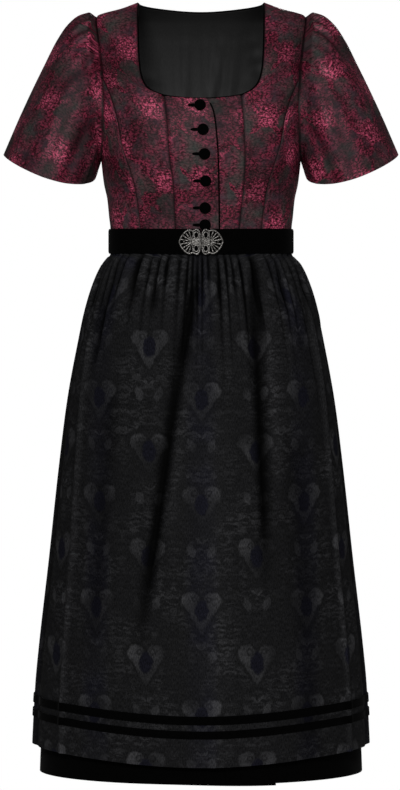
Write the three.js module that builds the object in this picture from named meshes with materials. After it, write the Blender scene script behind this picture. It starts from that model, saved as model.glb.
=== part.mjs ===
// A dirndl worn by nobody: brocade bodice with puffed short sleeves, black skirt, jacquard apron
// with two velvet ribbons, velvet belt with a two-part filigree clasp. Millimetres.
// +X is the wearer's left, -Y the front, +Z up; the origin lies midway between the shoulders,
// level with the neck points. Angles run round the body from 0 at centre front towards +X.
import * as THREE from "three";

// Driving dimensions.
const BROCADE = 1.5; // bodice and sleeve wall
const LINING = 1;
const JACQUARD = 1.4; // apron wall
const SKIRT_CLOTH = 1.4;
const VELVET = 1.3; // ribbons and hem band
const BELT_WALL = 2.2;
const SEAM_GAP = 0.3;
const LAY = 0.35; // distance of a piece from the one it lies on

const NECK_POINT_X = 94.5;
const NECK_POINT_Z = -1;
const SHOULDER_END_Z = -23;
const UNDERARM_Z = -240;
const ARMHOLE_HALF_DEPTH = 66;
const NECK_FRONT_Z = -155.5;
const NECK_BACK_DIP = 8;
const WAIST_Z = -358;
const WAIST_TILT = 5; // the waist and the belt lie this much lower in front
const BELT_TOP_Z = -341.5;
const BELT_HEIGHT = 36.5;
const APRON_HEM_Z = -1126;
const APRON_SIDE_RISE = 16;
const SKIRT_HEM_Z = -1149;
const HEM_BAND_HEIGHT = 60;
const PLACKET_LIFT = 1.9; // the buttonhole side lies on the button side

const degrees = THREE.MathUtils.degToRad;
const { lerp, smoothstep } = THREE.MathUtils;

// Reads a table of rows as smooth functions of its first column, without overshoot.
function table(names, rows) {
  const sorted = [...rows].sort((a, b) => a[0] - b[0]);
  const keys = sorted.map((row) => row[0]);
  const slopes = names.map((_, c) => {
    const secants = keys.slice(1).map((k, i) => (sorted[i + 1][c] - sorted[i][c]) / (k - keys[i]));
    return keys.map((_, i) => {
      const before = secants[Math.max(i - 1, 0)];
      const after = secants[Math.min(i, secants.length - 1)];
      return before * after > 0 ? (2 * before * after) / (before + after) : 0;
    });
  });
  return (value) => {
    const key = THREE.MathUtils.clamp(value, keys[0], keys.at(-1));
    const i = Math.max(0, keys.findIndex((k) => k >= key) - 1);
    const width = keys[i + 1] - keys[i];
    const t = (key - keys[i]) / width;
    const found = {};
    names.forEach((name, c) => {
      const a = sorted[i][c];
      const b = sorted[i + 1][c];
      const bend = t * (1 - t) * (slopes[c][i] * (1 - t) - slopes[c][i + 1] * t) * width;
      found[name] = a + (b - a) * t * t * (3 - 2 * t) + bend;
    });
    return found;
  };
}

// Rings round the body: half width across, depth in front of and behind the side line.
const torsoRing = table(["z", "halfWidth", "front", "back", "squareness"], [
  [1, 89, 10, 42, 2.6],
  [NECK_POINT_Z, NECK_POINT_X, 14, 46, 2.6],
  [-10, 117, 25, 60, 2.6],
  [SHOULDER_END_Z, 156, 42, 72, 2.7],
  [-50, 159, 62, 84, 2.8],
  [-100, 161, 87, 94, 2.9],
  [-132, 160.5, 98, 97, 3],
  [-180, 158, 110, 98, 2.9],
  [-215, 153, 113, 97, 2.7],
  [-240, 149.5, 111, 95, 2.6],
  [-273, 145.6, 105, 91, 2.5],
  [-297, 140.5, 99, 88, 2.4],
  [-325, 137.6, 95.5, 86.5, 2.4],
  [-340, 135.9, 94, 86, 2.4],
  [-358, 135.8, 94, 86, 2.4],
  [-370, 135.8, 94, 86, 2.4],
]);

// Rings of the apron's outer face, and how far the skirt lies inside them.
const apronRing = table(["z", "halfWidth", "front", "back", "squareness", "overSkirt"], [
  [-350, 135.5, 93.7, 85.9, 2.4, 2.2],
  [-379, 135.4, 93.6, 86, 2.4, 2.8],
  [-388, 142, 98.5, 92, 2.4, 6],
  [-397, 149, 102, 101, 2.3, 9],
  [-423, 161, 109, 113, 2.25, 11],
  [-462, 173.5, 118, 126, 2.2, 12],
  [-512, 185, 127, 137, 2.15, 12],
  [-597, 201, 140, 150, 2.1, 12],
  [-693, 213, 152, 162, 2.05, 12],
  [-834, 228, 168, 175, 2, 13],
  [-978, 243, 182, 187, 2, 14],
  [-1040, 248.5, 187, 192, 2, 14],
  [-1126, 253, 191, 196, 2, 14],
  [-1170, 254.5, 193, 198, 2, 14],
]);

function ringPoint(ring, angle, z) {
  const depth = Math.cos(angle) > 0 ? ring.front : ring.back;
  const n = ring.squareness;
  const across = Math.abs(Math.sin(angle) / ring.halfWidth) ** n;
  const along = Math.abs(Math.cos(angle) / depth) ** n;
  const reach = (across + along) ** (-1 / n);
  return new THREE.Vector3(reach * Math.sin(angle), -reach * Math.cos(angle), z);
}

const torso = (angle, z) => ringPoint(torsoRing(z), angle, z);

function outward(surface, angle, z) {
  const turn = 0.01;
  const rise = 1;
  const round = surface(angle + turn, z).sub(surface(angle - turn, z));
  const up = surface(angle, z + rise).sub(surface(angle, z - rise));
  return round.cross(up).normalize();
}

// The angle at which the front of the torso has this x.
function frontAngle(x, z) {
  const ring = torsoRing(z);
  const share = Math.min(1, Math.abs(x) / ring.halfWidth) ** ring.squareness;
  return Math.atan2(x, ring.front * (1 - share) ** (1 / ring.squareness));
}

const waistLevel = (angle) => WAIST_Z - WAIST_TILT * Math.cos(angle);

const group = new THREE.Group();
const material = {
  brocade: new THREE.MeshStandardMaterial({ color: 0x5a2a35, roughness: 0.55 }),
  lining: new THREE.MeshStandardMaterial({ color: 0x1d1d1d, roughness: 0.6 }),
  velvet: new THREE.MeshStandardMaterial({ color: 0x050505, roughness: 0.95 }),
  jacquard: new THREE.MeshStandardMaterial({ color: 0x1b1b1d, roughness: 0.6 }),
  skirtCloth: new THREE.MeshStandardMaterial({ color: 0x101011, roughness: 0.8 }),
  silver: new THREE.MeshStandardMaterial({ color: 0x8a8580, roughness: 0.4, metalness: 1 }),
};

// Turns corner points and triangles into a named mesh whose faces point out.
function addBody(name, points, triangles, finish) {
  let volume = 0;
  for (const [a, b, c] of triangles) {
    volume += points[a].dot(new THREE.Vector3().crossVectors(points[b], points[c]));
  }
  const faces = volume < 0 ? triangles.map(([a, b, c]) => [a, c, b]) : triangles;
  const geometry = new THREE.BufferGeometry().setFromPoints(points);
  geometry.setIndex(faces.flat());
  geometry.computeVertexNormals();
  const mesh = new THREE.Mesh(geometry, finish);
  mesh.name = name;
  group.add(mesh);
}

// A cloth wall between two grids of points. Rows run from the top down or the bottom up;
// a row may have half the cells of the one before it. A tube's rows close on themselves.
function addWall(name, outer, inner, finish, isTube) {
  const points = [...outer.flat(), ...inner.flat()];
  const starts = [];
  outer.reduce((sum, row) => (starts.push(sum), sum + row.length), 0);
  const behind = outer.flat().length;
  const triangles = [];
  const index = (row, column) => starts[row] + (column % outer[row].length);
  const addPair = (a, b, c) => {
    triangles.push([a, b, c], [a + behind, c + behind, b + behind]);
  };
  const addStrip = (a, b) => {
    triangles.push([b, a, a + behind], [b, a + behind, b + behind]);
  };
  const cells = (row) => outer[row].length - (isTube ? 0 : 1);
  const last = outer.length - 1;
  for (let row = 0; row < last; row++) {
    const halves = cells(row) === 2 * cells(row + 1);
    for (let k = 0; k < cells(row + 1); k++) {
      const lower = [index(row + 1, k), index(row + 1, k + 1)];
      if (halves) {
        const [a, b, c] = [0, 1, 2].map((step) => index(row, 2 * k + step));
        addPair(a, b, lower[0]);
        addPair(b, c, lower[1]);
        addPair(b, lower[1], lower[0]);
      } else {
        const upper = [index(row, k), index(row, k + 1)];
        addPair(upper[0], upper[1], lower[1]);
        addPair(upper[0], lower[1], lower[0]);
      }
    }
    if (!isTube) {
      addStrip(index(row + 1, 0), index(row, 0));
      addStrip(index(row, cells(row)), index(row + 1, cells(row + 1)));
    }
  }
  for (let k = 0; k < cells(0); k++) addStrip(index(0, k), index(0, k + 1));
  for (let k = 0; k < cells(last); k++) addStrip(index(last, k + 1), index(last, k));
  addBody(name, points, triangles, finish);
}

// Moves the rim of an open grid in by half a seam gap.
function pullIn(rows) {
  const step = (from, to) => from.clone().add(to.clone().sub(from).setLength(SEAM_GAP / 2));
  for (const row of rows) {
    row[0] = step(row[0], row[1]);
    row[row.length - 1] = step(row.at(-1), row.at(-2));
  }
  rows[0] = rows[0].map((point, k) => step(point, rows[1][k]));
  rows[rows.length - 1] = rows.at(-1).map((point, k) => step(point, rows.at(-2)[k]));
}

const mix = (a, b, t) => ({ angle: lerp(a.angle, b.angle, t), z: lerp(a.z, b.z, t) });

// A point inside four edge curves: the two straight blends less the blend of the corners.
function patchPoint(edges, u, v) {
  const rails = mix(edges.left(v), edges.right(v), u);
  const ends = mix(edges.bottom(u), edges.top(u), v);
  const low = mix(edges.left(0), edges.right(0), u);
  const corners = mix(low, mix(edges.left(1), edges.right(1), u), v);
  return { angle: rails.angle + ends.angle - corners.angle, z: rails.z + ends.z - corners.z };
}

const steps = (from, to, count) => {
  return Array.from({ length: count + 1 }, (_, i) => lerp(from, to, i / count));
};

// A bodice panel on the torso, moved out by lift, with its wall inwards.
function addPanel(name, edges, us, vs, finish, thickness, lift = () => 0) {
  const outer = [];
  const normals = [];
  for (const v of vs) {
    const places = us.map((u) => patchPoint(edges, u, v));
    const rowNormals = places.map(({ angle, z }) => outward(torso, angle, z));
    normals.push(rowNormals);
    outer.push(places.map(({ angle, z }, k) => {
      const point = torso(angle, z);
      return point.addScaledVector(rowNormals[k], lift(point));
    }));
  }
  pullIn(outer);
  const inner = outer.map((row, i) => {
    return row.map((point, k) => point.clone().addScaledVector(normals[i][k], -thickness));
  });
  addWall(name, outer, inner, finish, false);
}

// Seams. Each front seam is a short table of x and z from the waist up.
function frontSeam(rows) {
  const [waistX] = rows[0];
  const start = [waistX, waistLevel(frontAngle(waistX, WAIST_Z))];
  const curve = new THREE.SplineCurve([start, ...rows.slice(1)].map((row) => {
    return new THREE.Vector2(...row);
  }));
  return (t) => {
    const { x, y: z } = curve.getPointAt(t);
    return { angle: frontAngle(x, z), z };
  };
}

const neckFrontZ = (x) => NECK_FRONT_Z + 5 * (x / 56) ** 2;

// The armhole, turned through from 0 at the shoulder end over the front, pi at the underarm.
function armhole(side, turn) {
  const down = (1 - Math.cos(turn)) / 2;
  const z = lerp(SHOULDER_END_Z, UNDERARM_Z, down);
  const ring = torsoRing(z);
  const isFront = turn < Math.PI;
  const depth = ARMHOLE_HALF_DEPTH * Math.max(0, Math.sin(Math.PI * down ** 1.6)) ** 0.45;
  const share = (depth / (isFront ? ring.front : ring.back)) ** ring.squareness;
  const x = ring.halfWidth * (1 - share) ** (1 / ring.squareness);
  const angle = Math.atan2(x, isFront ? depth : -depth);
  return { angle: side * angle, z };
}

const FRONT_JOIN_TURN = degrees(84); // where the side front meets the side panel
const BACK_JOIN_TURN = degrees(260); // where the back meets the side panel
const BACK_SEAM_WAIST_ANGLE = degrees(125);

// Seams as rows of x and z from the waist up; the z of the waist end is worked out.
const PRINCESS_TOP_X = { right: 54.3, left: 59.4 };
const PRINCESS_X_Z = {
  right: [
    [-37.5, WAIST_Z],
    [-38.2, -345],
    [-41, -282],
    [-46.2, -245],
    [-49.9, -194],
    [-PRINCESS_TOP_X.right, neckFrontZ(PRINCESS_TOP_X.right)],
  ],
  left: [
    [57, WAIST_Z],
    [57.2, -345],
    [61, -300],
    [65, -250],
    [63, -194],
    [PRINCESS_TOP_X.left, neckFrontZ(PRINCESS_TOP_X.left)],
  ],
};
const SIDE_FRONT_X_Z = [
  [89, WAIST_Z],
  [90, -344],
  [97, -290],
  [107, -256],
  [119, -216],
  [124, -185],
  [134, -150],
];
const PLACKET_TOP_X = 7.3;
const PLACKET_X_Z = [
  [25.6, WAIST_Z],
  [25.6, -340],
  [24.2, -252.6],
  [21.2, -205],
  [17.6, -178],
  [12.5, -164],
  [PLACKET_TOP_X, neckFrontZ(PLACKET_TOP_X)],
];
const UNDER_EDGE_X = -14;

function sideFrontSeam(side) {
  const join = torso(...Object.values(armhole(side, FRONT_JOIN_TURN)));
  const rows = SIDE_FRONT_X_Z.map(([x, z]) => [side * x, z]);
  return frontSeam([...rows, [join.x, join.z]]);
}

function backSeam(side) {
  const waist = { angle: side * BACK_SEAM_WAIST_ANGLE, z: waistLevel(BACK_SEAM_WAIST_ANGLE) };
  const join = armhole(side, BACK_JOIN_TURN);
  return (t) => {
    return { angle: lerp(waist.angle, join.angle, t ** 1.3), z: lerp(waist.z, join.z, t) };
  };
}

// The neckline of one side, from its princess seam round the corner up to the neck point.
function neckSide(side, startX) {
  const curve = new THREE.SplineCurve([
    [side * startX, neckFrontZ(startX)],
    [side * 74, -142.5],
    [side * 85, -129.5],
    [side * 91, -105],
    [side * 93.5, -61],
    [side * NECK_POINT_X, -20],
    [side * NECK_POINT_X, NECK_POINT_Z],
  ].map((row) => new THREE.Vector2(...row)));
  return (t) => {
    const { x, y: z } = curve.getPointAt(t);
    return { angle: t === 1 ? side * degrees(90) : frontAngle(x, z), z };
  };
}

const waistEdge = (from, to) => (u) => {
  const angle = lerp(from.angle, to.angle, u);
  return { angle, z: waistLevel(angle) };
};

const joined = (lower, upper) => (v) => (v < 0.5 ? lower(2 * v) : upper(2 * v - 1));

const LOWER_ROWS = 8;
const UPPER_ROWS = 7;
const tallRows = [...steps(0, 0.5, LOWER_ROWS), ...steps(0.5, 1, UPPER_ROWS).slice(1)];
// Shares of the way from the princess seam to the neck point, closest at the rounded corner.
const CORNER_SHARES = [0, 0.12, 0.2, 0.28, 0.36, 0.52, 0.76, 1];
const strapRows = [...steps(0, 0.5, LOWER_ROWS), ...CORNER_SHARES.slice(1).map((share) => (1 + share) / 2)];

function addSideFront(name, side, princess, princessTopX) {
  const outerSeam = sideFrontSeam(side);
  const strap = (v) => armhole(side, lerp(FRONT_JOIN_TURN, 0, v));
  const edges = {
    left: joined(outerSeam, strap),
    right: joined(princess, neckSide(side, princessTopX)),
    bottom: waistEdge(outerSeam(0), princess(0)),
    top: (u) => ({ angle: side * degrees(90), z: lerp(SHOULDER_END_Z, NECK_POINT_Z, u) }),
  };
  addPanel(name, edges, steps(0, 1, 4), strapRows, material.brocade, BROCADE);
}

const SIDE_COLUMNS = 8;

function addSidePanel(name, side) {
  const front = sideFrontSeam(side);
  const back = backSeam(side);
  const edges = {
    left: front,
    right: back,
    bottom: waistEdge(front(0), back(0)),
    top: (u) => armhole(side, lerp(FRONT_JOIN_TURN, BACK_JOIN_TURN, u)),
  };
  addPanel(name, edges, steps(0, 1, SIDE_COLUMNS), steps(0, 1, LOWER_ROWS), material.brocade, BROCADE);
}

const neckEdge = (fromX, toX) => (u) => {
  const x = lerp(fromX, toX, u);
  return { angle: frontAngle(x, neckFrontZ(x)), z: neckFrontZ(x) };
};

const placketLift = ({ x }) => PLACKET_LIFT * smoothstep(x, -44, -20);

function addCentreFronts(princess) {
  const placket = frontSeam(PLACKET_X_Z);
  const underTopZ = neckFrontZ(UNDER_EDGE_X);
  const under = frontSeam([WAIST_Z, -250, underTopZ].map((z) => [UNDER_EDGE_X, z]));
  const rightEdges = {
    left: princess.right,
    right: placket,
    bottom: waistEdge(princess.right(0), placket(0)),
    top: neckEdge(-PRINCESS_TOP_X.right, PLACKET_TOP_X),
  };
  const leftEdges = {
    left: under,
    right: princess.left,
    bottom: waistEdge(under(0), princess.left(0)),
    top: neckEdge(UNDER_EDGE_X, PRINCESS_TOP_X.left),
  };
  const rows = steps(0, 1, LOWER_ROWS);
  const wideRows = [...rows.slice(0, -1), 0.94, 1];
  const columns = steps(0, 1, 5);
  const { brocade } = material;
  addPanel("centre_front_right", rightEdges, columns, wideRows, brocade, BROCADE, placketLift);
  addPanel("centre_front_left", leftEdges, columns, rows, brocade, BROCADE);
}

// The back neckline, from one neck point to the other.
function backNeck(u) {
  const angle = lerp(degrees(90), degrees(270), u);
  return { angle, z: NECK_POINT_Z - NECK_BACK_DIP * Math.max(0, Math.sin(Math.PI * u)) ** 1.2 };
}

const BACK_COLUMNS = 10;
const BACK_NECK_COLUMNS = 6;
const SHOULDER_SHARE = (BACK_COLUMNS - BACK_NECK_COLUMNS) / 2 / BACK_COLUMNS;

const mirrored = ({ angle, z }) => ({ angle: 2 * Math.PI - angle, z });

function backEdges() {
  const shoulder = (t) => ({ angle: degrees(90), z: lerp(SHOULDER_END_Z, NECK_POINT_Z, t) });
  const armside = (v) => armhole(1, lerp(BACK_JOIN_TURN, 2 * Math.PI, v));
  const left = joined(backSeam(1), armside);
  return {
    left,
    right: (v) => mirrored(left(v)),
    bottom: waistEdge(left(0), mirrored(left(0))),
    top: (u) => {
      if (u < SHOULDER_SHARE) return shoulder(u / SHOULDER_SHARE);
      if (u > 1 - SHOULDER_SHARE) return mirrored(shoulder((1 - u) / SHOULDER_SHARE));
      return backNeck((u - SHOULDER_SHARE) / (1 - 2 * SHOULDER_SHARE));
    },
  };
}

function addBack() {
  const edges = backEdges();
  const columns = steps(0, 1, BACK_COLUMNS);
  const depth = BROCADE + LAY;
  addPanel("back", edges, columns, tallRows, material.brocade, BROCADE);
  addPanel("back_lining", edges, columns, tallRows, material.lining, LINING, () => -depth);
}

// A cord of square section beside an edge: across moves it off the edge, over off the cloth.
function addCord(name, places, isLoop, radius, across, over, finish) {
  const points = places.map(({ angle, z }) => torso(angle, z));
  const count = points.length;
  const rows = points.map((point, i) => {
    const before = points[isLoop ? (i + count - 1) % count : Math.max(i - 1, 0)];
    const after = points[isLoop ? (i + 1) % count : Math.min(i + 1, count - 1)];
    const normal = outward(torso, places[i].angle, places[i].z);
    const aside = after.clone().sub(before).cross(normal).normalize();
    const centre = point.clone().addScaledVector(aside, across).addScaledVector(normal, over);
    return [0, 1, 2, 3].map((corner) => {
      const turn = degrees(45 + 90 * corner);
      return centre.clone()
        .addScaledVector(aside, radius * Math.cos(turn))
        .addScaledVector(normal, radius * Math.sin(turn));
    });
  });
  const triangles = [];
  for (let i = 0; i < (isLoop ? count : count - 1); i++) {
    for (let k = 0; k < 4; k++) {
      const [a, b] = [4 * i + k, 4 * i + ((k + 1) % 4)];
      const ahead = 4 * ((i + 1) % count);
      const [c, d] = [ahead + k, ahead + ((k + 1) % 4)];
      triangles.push([a, b, d], [a, d, c]);
    }
  }
  if (!isLoop) {
    const end = 4 * (count - 1);
    triangles.push([0, 2, 1], [0, 3, 2], [end, end + 1, end + 2], [end, end + 2, end + 3]);
  }
  addBody(name, rows.flat(), triangles, finish);
}

const PIPING_RADIUS = 1.5;

function addPipings() {
  const up = CORNER_SHARES.slice(0, -1);
  const down = CORNER_SHARES.slice(1).reverse();
  const loop = [
    ...steps(0, 1, BACK_NECK_COLUMNS).slice(0, -1).map(backNeck),
    ...down.map(neckSide(-1, PRINCESS_TOP_X.right)),
    ...steps(0, 1, 8).slice(0, -1).map(neckEdge(-PRINCESS_TOP_X.right, PRINCESS_TOP_X.left)),
    ...up.map(neckSide(1, PRINCESS_TOP_X.left)),
  ];
  const clear = PIPING_RADIUS * Math.SQRT1_2 + LAY;
  addCord("neck_piping", loop, true, PIPING_RADIUS, -clear, 0, material.velvet);
  const placket = steps(0, 0.955, 14).map(frontSeam(PLACKET_X_Z));
  addCord("placket_piping", placket, false, PIPING_RADIUS, clear, clear + 0.4, material.velvet);
}

// Sleeves: rings that fan out from the underarm to the hem, after the armhole itself.
const SLEEVE_RINGS = [
  // outer x, outer z, inner x, inner z, half depth
  [168, -19, 150.8, -243, 69],
  [181, -23, 151.8, -245.5, 73],
  [198, -36, 152.6, -248, 77],
  [215, -58, 153.4, -250, 80],
  [240, -106, 154.4, -252.5, 83],
  [269, -167, 155.6, -255.5, 85],
  [296, -229, 157, -258, 86],
];
const SLEEVE_FINE_RINGS = 4;
const SLEEVE_GATHERS = 8;
const SLEEVE_GATHER_SPREAD = degrees(62);
const SLEEVE_GATHER_HEIGHT = 2;
const HEM_DIP = 19.5;
const HEM_INNER_DIP = 17;
const HEM_BACK_RISE = 13; // the hem rides up behind

const sleeveRing = table(
  ["ring", "outX", "outZ", "inX", "inZ", "halfDepth"],
  SLEEVE_RINGS.map((row, i) => [i + 1, ...row]),
);

function sleevePoint(side, ring, turn) {
  const start = armhole(side, turn);
  const root = torso(start.angle, start.z);
  root.x += side * (SEAM_GAP + 0.3);
  const { outX, outZ, inX, inZ, halfDepth } = sleeveRing(Math.max(ring, 1));
  const across = (1 + Math.cos(turn)) / 2;
  const share = (ring / SLEEVE_RINGS.length) ** 2;
  const dip = HEM_DIP * Math.abs(Math.sin(turn)) ** 1.2
    + HEM_INNER_DIP * (1 - across) * Math.abs(Math.sin(turn)) ** 0.7
    - HEM_BACK_RISE * Math.max(0, -Math.sin(turn));
  const point = new THREE.Vector3(
    side * lerp(inX, outX, across),
    -halfDepth * Math.sin(turn),
    lerp(inZ, outZ, across) - share * dip,
  );
  return ring < 1 ? root.lerp(point, ring) : point;
}

function sleeveNormal(side, ring, turn) {
  const [before, after] = [Math.max(ring - 0.2, 0), Math.min(ring + 0.2, SLEEVE_RINGS.length)];
  const along = sleevePoint(side, after, turn).sub(sleevePoint(side, before, turn));
  const round = sleevePoint(side, ring, turn + 0.03).sub(sleevePoint(side, ring, turn - 0.03));
  return round.cross(along).multiplyScalar(side).normalize();
}

function sleeveGather(ring, turn) {
  const from = Math.atan2(Math.sin(turn), Math.cos(turn));
  const share = from / SLEEVE_GATHER_SPREAD;
  if (Math.abs(share) >= 1) return 0;
  const fade = smoothstep(ring, 0, 1) * (1 - smoothstep(ring, 2.2, 5));
  return SLEEVE_GATHER_HEIGHT * fade * (1 - share ** 4) * Math.cos(SLEEVE_GATHERS * Math.PI * share);
}

function addSleeve(name, side) {
  const capTurns = steps(-SLEEVE_GATHER_SPREAD, SLEEVE_GATHER_SPREAD, 4 * SLEEVE_GATHERS);
  const frontTurns = steps(SLEEVE_GATHER_SPREAD, FRONT_JOIN_TURN, 2).slice(1);
  const underTurns = steps(FRONT_JOIN_TURN, BACK_JOIN_TURN, SIDE_COLUMNS).slice(1);
  const backTurns = steps(BACK_JOIN_TURN, 2 * Math.PI - SLEEVE_GATHER_SPREAD, 2).slice(1, -1);
  const turns = [...capTurns, ...frontTurns, ...underTurns, ...backTurns].map((turn) => {
    return (turn + 2 * Math.PI) % (2 * Math.PI);
  });
  const outer = [];
  const inner = [];
  for (let ring = 0; ring <= SLEEVE_RINGS.length; ring++) {
    const row = ring > SLEEVE_FINE_RINGS ? turns.filter((_, k) => k % 2 === 0) : turns;
    const normals = row.map((turn) => sleeveNormal(side, ring, turn));
    const face = row.map((turn, k) => {
      const point = sleevePoint(side, ring, turn);
      return point.addScaledVector(normals[k], sleeveGather(ring, turn));
    });
    outer.push(face);
    inner.push(face.map((point, k) => point.clone().addScaledVector(normals[k], -BROCADE)));
  }
  addWall(name, outer, inner, material.brocade, true);
}

// Skirt and apron: gathers at the waist run into a few long soft folds.
const APRON_EDGE_ANGLE = degrees(112);
const APRON_GATHERS = 36;
const GATHER_HEIGHT = 1.8;
const SKIRT_GATHERS = 18; // behind, between the apron's edges

const gatherHeight = table(["z", "height"], [
  [-350, 0.2],
  [-380, 0.35],
  [-390, 1],
  [-410, 1],
  [-440, 0.7],
  [-480, 0.35],
  [-540, 0.05],
  [-600, 0],
]);

// Long folds: where they start and end round the body, their height and half width.
const FOLDS = [
  // from angle, to angle, from z, to z, height, half width
  [1, -30, -390, -985, -7, 12],
  [38, 32, -390, -880, -6.5, 11],
  [56, 54, -388, -470, -3, 9],
  [-63, -65, -386, -555, -4.5, 10],
  [-77, -75, -390, -470, -3, 9],
  [-37, -46, -388, -455, -3, 8],
  [-30, -33, -420, -475, -2.5, 7],
  [14, 15, -392, -460, -2.5, 8],
  [-71, -61, -520, -1126, 4, 18],
  [73, 66, -430, -1126, 4, 18],
  [150, 158, -400, -1147, 5, 24],
  [178, 171, -400, -1147, -5, 22],
  [-152, -162, -400, -1147, 5, 24],
  [-134, -140, -420, -1147, -4, 20],
  [132, 136, -420, -1147, -4, 20],
];

function foldHeight(angle, z, reach) {
  let height = 0;
  for (const [fromAngle, toAngle, fromZ, toZ, depth, halfWidth] of FOLDS) {
    const down = (fromZ - z) / (fromZ - toZ);
    const place = lerp(fromAngle, toAngle, THREE.MathUtils.clamp(down, 0, 1) ** 0.6);
    let away = angle - degrees(place);
    away = Math.atan2(Math.sin(away), Math.cos(away)) * reach;
    const start = smoothstep(down, -0.03, 0.12);
    const end = toZ <= APRON_HEM_Z ? 1 : 1 - smoothstep(down, 0.7, 1.05);
    height += depth * start * end * Math.exp(-((away / halfWidth) ** 2));
  }
  return height;
}

const fromFront = (angle) => Math.abs(Math.atan2(Math.sin(angle), Math.cos(angle)));

// How far a place is behind the apron's edges: 0 under the apron, 1 at the back.
const SKIRT_OUT_FROM = degrees(115);
const SKIRT_OUT_TO = degrees(138);
const behindApron = (angle) => smoothstep(fromFront(angle), SKIRT_OUT_FROM, SKIRT_OUT_TO);

// The waist's tilt dies out between these two levels.
const TILT_FROM_Z = -380;
const TILT_TO_Z = -460;
const tilted = (z, angle) => z - WAIST_TILT * Math.cos(angle) * smoothstep(z, TILT_TO_Z, TILT_FROM_Z);

// The apron's ring at a level, before gathers and folds; levels lie lower in front near the waist
// and the hem rises to the sides.
function apronBase(angle, level) {
  const aside = Math.min(fromFront(angle), degrees(90));
  const rise = APRON_SIDE_RISE * Math.sin(aside) ** 2 * smoothstep(-level, 800, 1040);
  return ringPoint(apronRing(level), angle, tilted(level, angle) + rise);
}

const skirtBase = (angle, level) => ringPoint(apronRing(level), angle, tilted(level, angle));

function gather(angle, z, count, spread) {
  const wave = (angle / spread) * count * Math.PI;
  const uneven = 0.78 + 0.22 * Math.sin(2.3 * Math.round(wave / Math.PI));
  return GATHER_HEIGHT * uneven * gatherHeight(z).height * Math.cos(wave);
}

function apronPoint(angle, level, moved = 0) {
  const normal = outward(apronBase, angle, level);
  const point = apronBase(angle, level);
  const height = gather(angle, level, APRON_GATHERS, APRON_EDGE_ANGLE);
  const folds = foldHeight(angle, level, Math.hypot(point.x, point.y));
  return point.addScaledVector(normal, height + folds + moved);
}

// Levels of the apron's rows; those above FINE_END have a column for each quarter gather.
const FINE_END = -470;
const LAYER_TOP = WAIST_Z - SEAM_GAP;
const APRON_LEVELS = [LAYER_TOP, -379, -390, -410, -455, -515, -600, -720, -840, -940, -1040, APRON_HEM_Z];
const APRON_COLUMNS = 4 * APRON_GATHERS;

function apronAngles(level) {
  const count = level > FINE_END ? APRON_COLUMNS : APRON_COLUMNS / 2;
  return steps(-APRON_EDGE_ANGLE, APRON_EDGE_ANGLE, count);
}

function addLayer(name, levels, anglesAt, pointAt, thickness, finish, isTube) {
  const grid = (moved) => levels.map((level) => {
    return anglesAt(level).map((angle) => pointAt(angle, level, moved));
  });
  addWall(name, grid(0), grid(-thickness), finish, isTube);
}

// The skirt lies inside the apron and comes out to the same size behind its edges.
function skirtPoint(angle, level, moved = 0) {
  const behind = behindApron(angle);
  const fromBack = Math.PI - fromFront(angle);
  const normal = outward(skirtBase, angle, level);
  const point = skirtBase(angle, level);
  const height = behind * gather(fromBack, level, SKIRT_GATHERS, Math.PI - APRON_EDGE_ANGLE);
  const folds = behind * foldHeight(angle, level, Math.hypot(point.x, point.y));
  const inside = -apronRing(level).overSkirt * (1 - 0.75 * behind);
  return point.addScaledVector(normal, inside + height + folds + moved);
}

const SKIRT_LEVELS = [LAYER_TOP, -379, -402, -435, -500, -600, -740, -900, -1060, SKIRT_HEM_Z];
const SKIRT_FINE_END = -440;
const SKIRT_FRONT_COLUMNS = 40;

function skirtAngles(level) {
  const backCount = 4 * SKIRT_GATHERS;
  const back = steps(APRON_EDGE_ANGLE, 2 * Math.PI - APRON_EDGE_ANGLE, backCount);
  const front = steps(2 * Math.PI - APRON_EDGE_ANGLE, 2 * Math.PI + APRON_EDGE_ANGLE, SKIRT_FRONT_COLUMNS);
  const all = [...back, ...front.slice(1, -1)];
  return level > SKIRT_FINE_END ? all : all.filter((_, k) => k % 2 === 0);
}

// A point on the straight stretch of cloth between the last two rows of a layer.
function onLastRows(pointAt, levels, angle, level, out) {
  const [high, low] = levels.slice(-2);
  const share = (high - level) / (high - low);
  return pointAt(angle, high, out).lerp(pointAt(angle, low, out), share);
}

// The velvet band round the skirt's hem; its end laps over its start at the front left.
const BAND_START_ANGLE = degrees(384);
const BAND_DROP = 2;
const BAND_LAP_DROP = 3;

function addHemBand() {
  const round = skirtAngles(SKIRT_HEM_Z);
  const first = round.findIndex((angle) => angle > BAND_START_ANGLE);
  const again = round.map((angle) => angle + 2 * Math.PI);
  const angles = [...round.slice(first), ...again].slice(0, round.length + 2);
  const place = (angle, level, moved) => {
    const lap = smoothstep(angle, angles.at(-4), angles.at(-2));
    const out = LAY + VELVET + lap * (VELVET + LAY) + moved;
    const point = onLastRows(skirtPoint, SKIRT_LEVELS, angle, level, out);
    point.z -= lap * BAND_LAP_DROP;
    return point;
  };
  const bottom = SKIRT_HEM_Z - BAND_DROP;
  const levels = [bottom + HEM_BAND_HEIGHT, bottom];
  addLayer("hem_band", levels, () => angles, place, VELVET, material.velvet, false);
}

const RIBBONS = { upper: [-1052.5, -1064.5], lower: [-1073.6, -1084.6] };

function addRibbon(name, levels) {
  const place = (angle, level, moved) => {
    return onLastRows(apronPoint, APRON_LEVELS, angle, level, LAY + VELVET + moved);
  };
  addLayer(name, levels, apronAngles, place, VELVET, material.velvet, false);
}

// The belt is open at centre front, where it bows out over the lowest button.
const BELT_RING = { halfWidth: 136.7, front: 94.9, back: 87, squareness: 2.4 };
const BELT_BOW = 6.4;
const BELT_OPENING = degrees(0.9);

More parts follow.
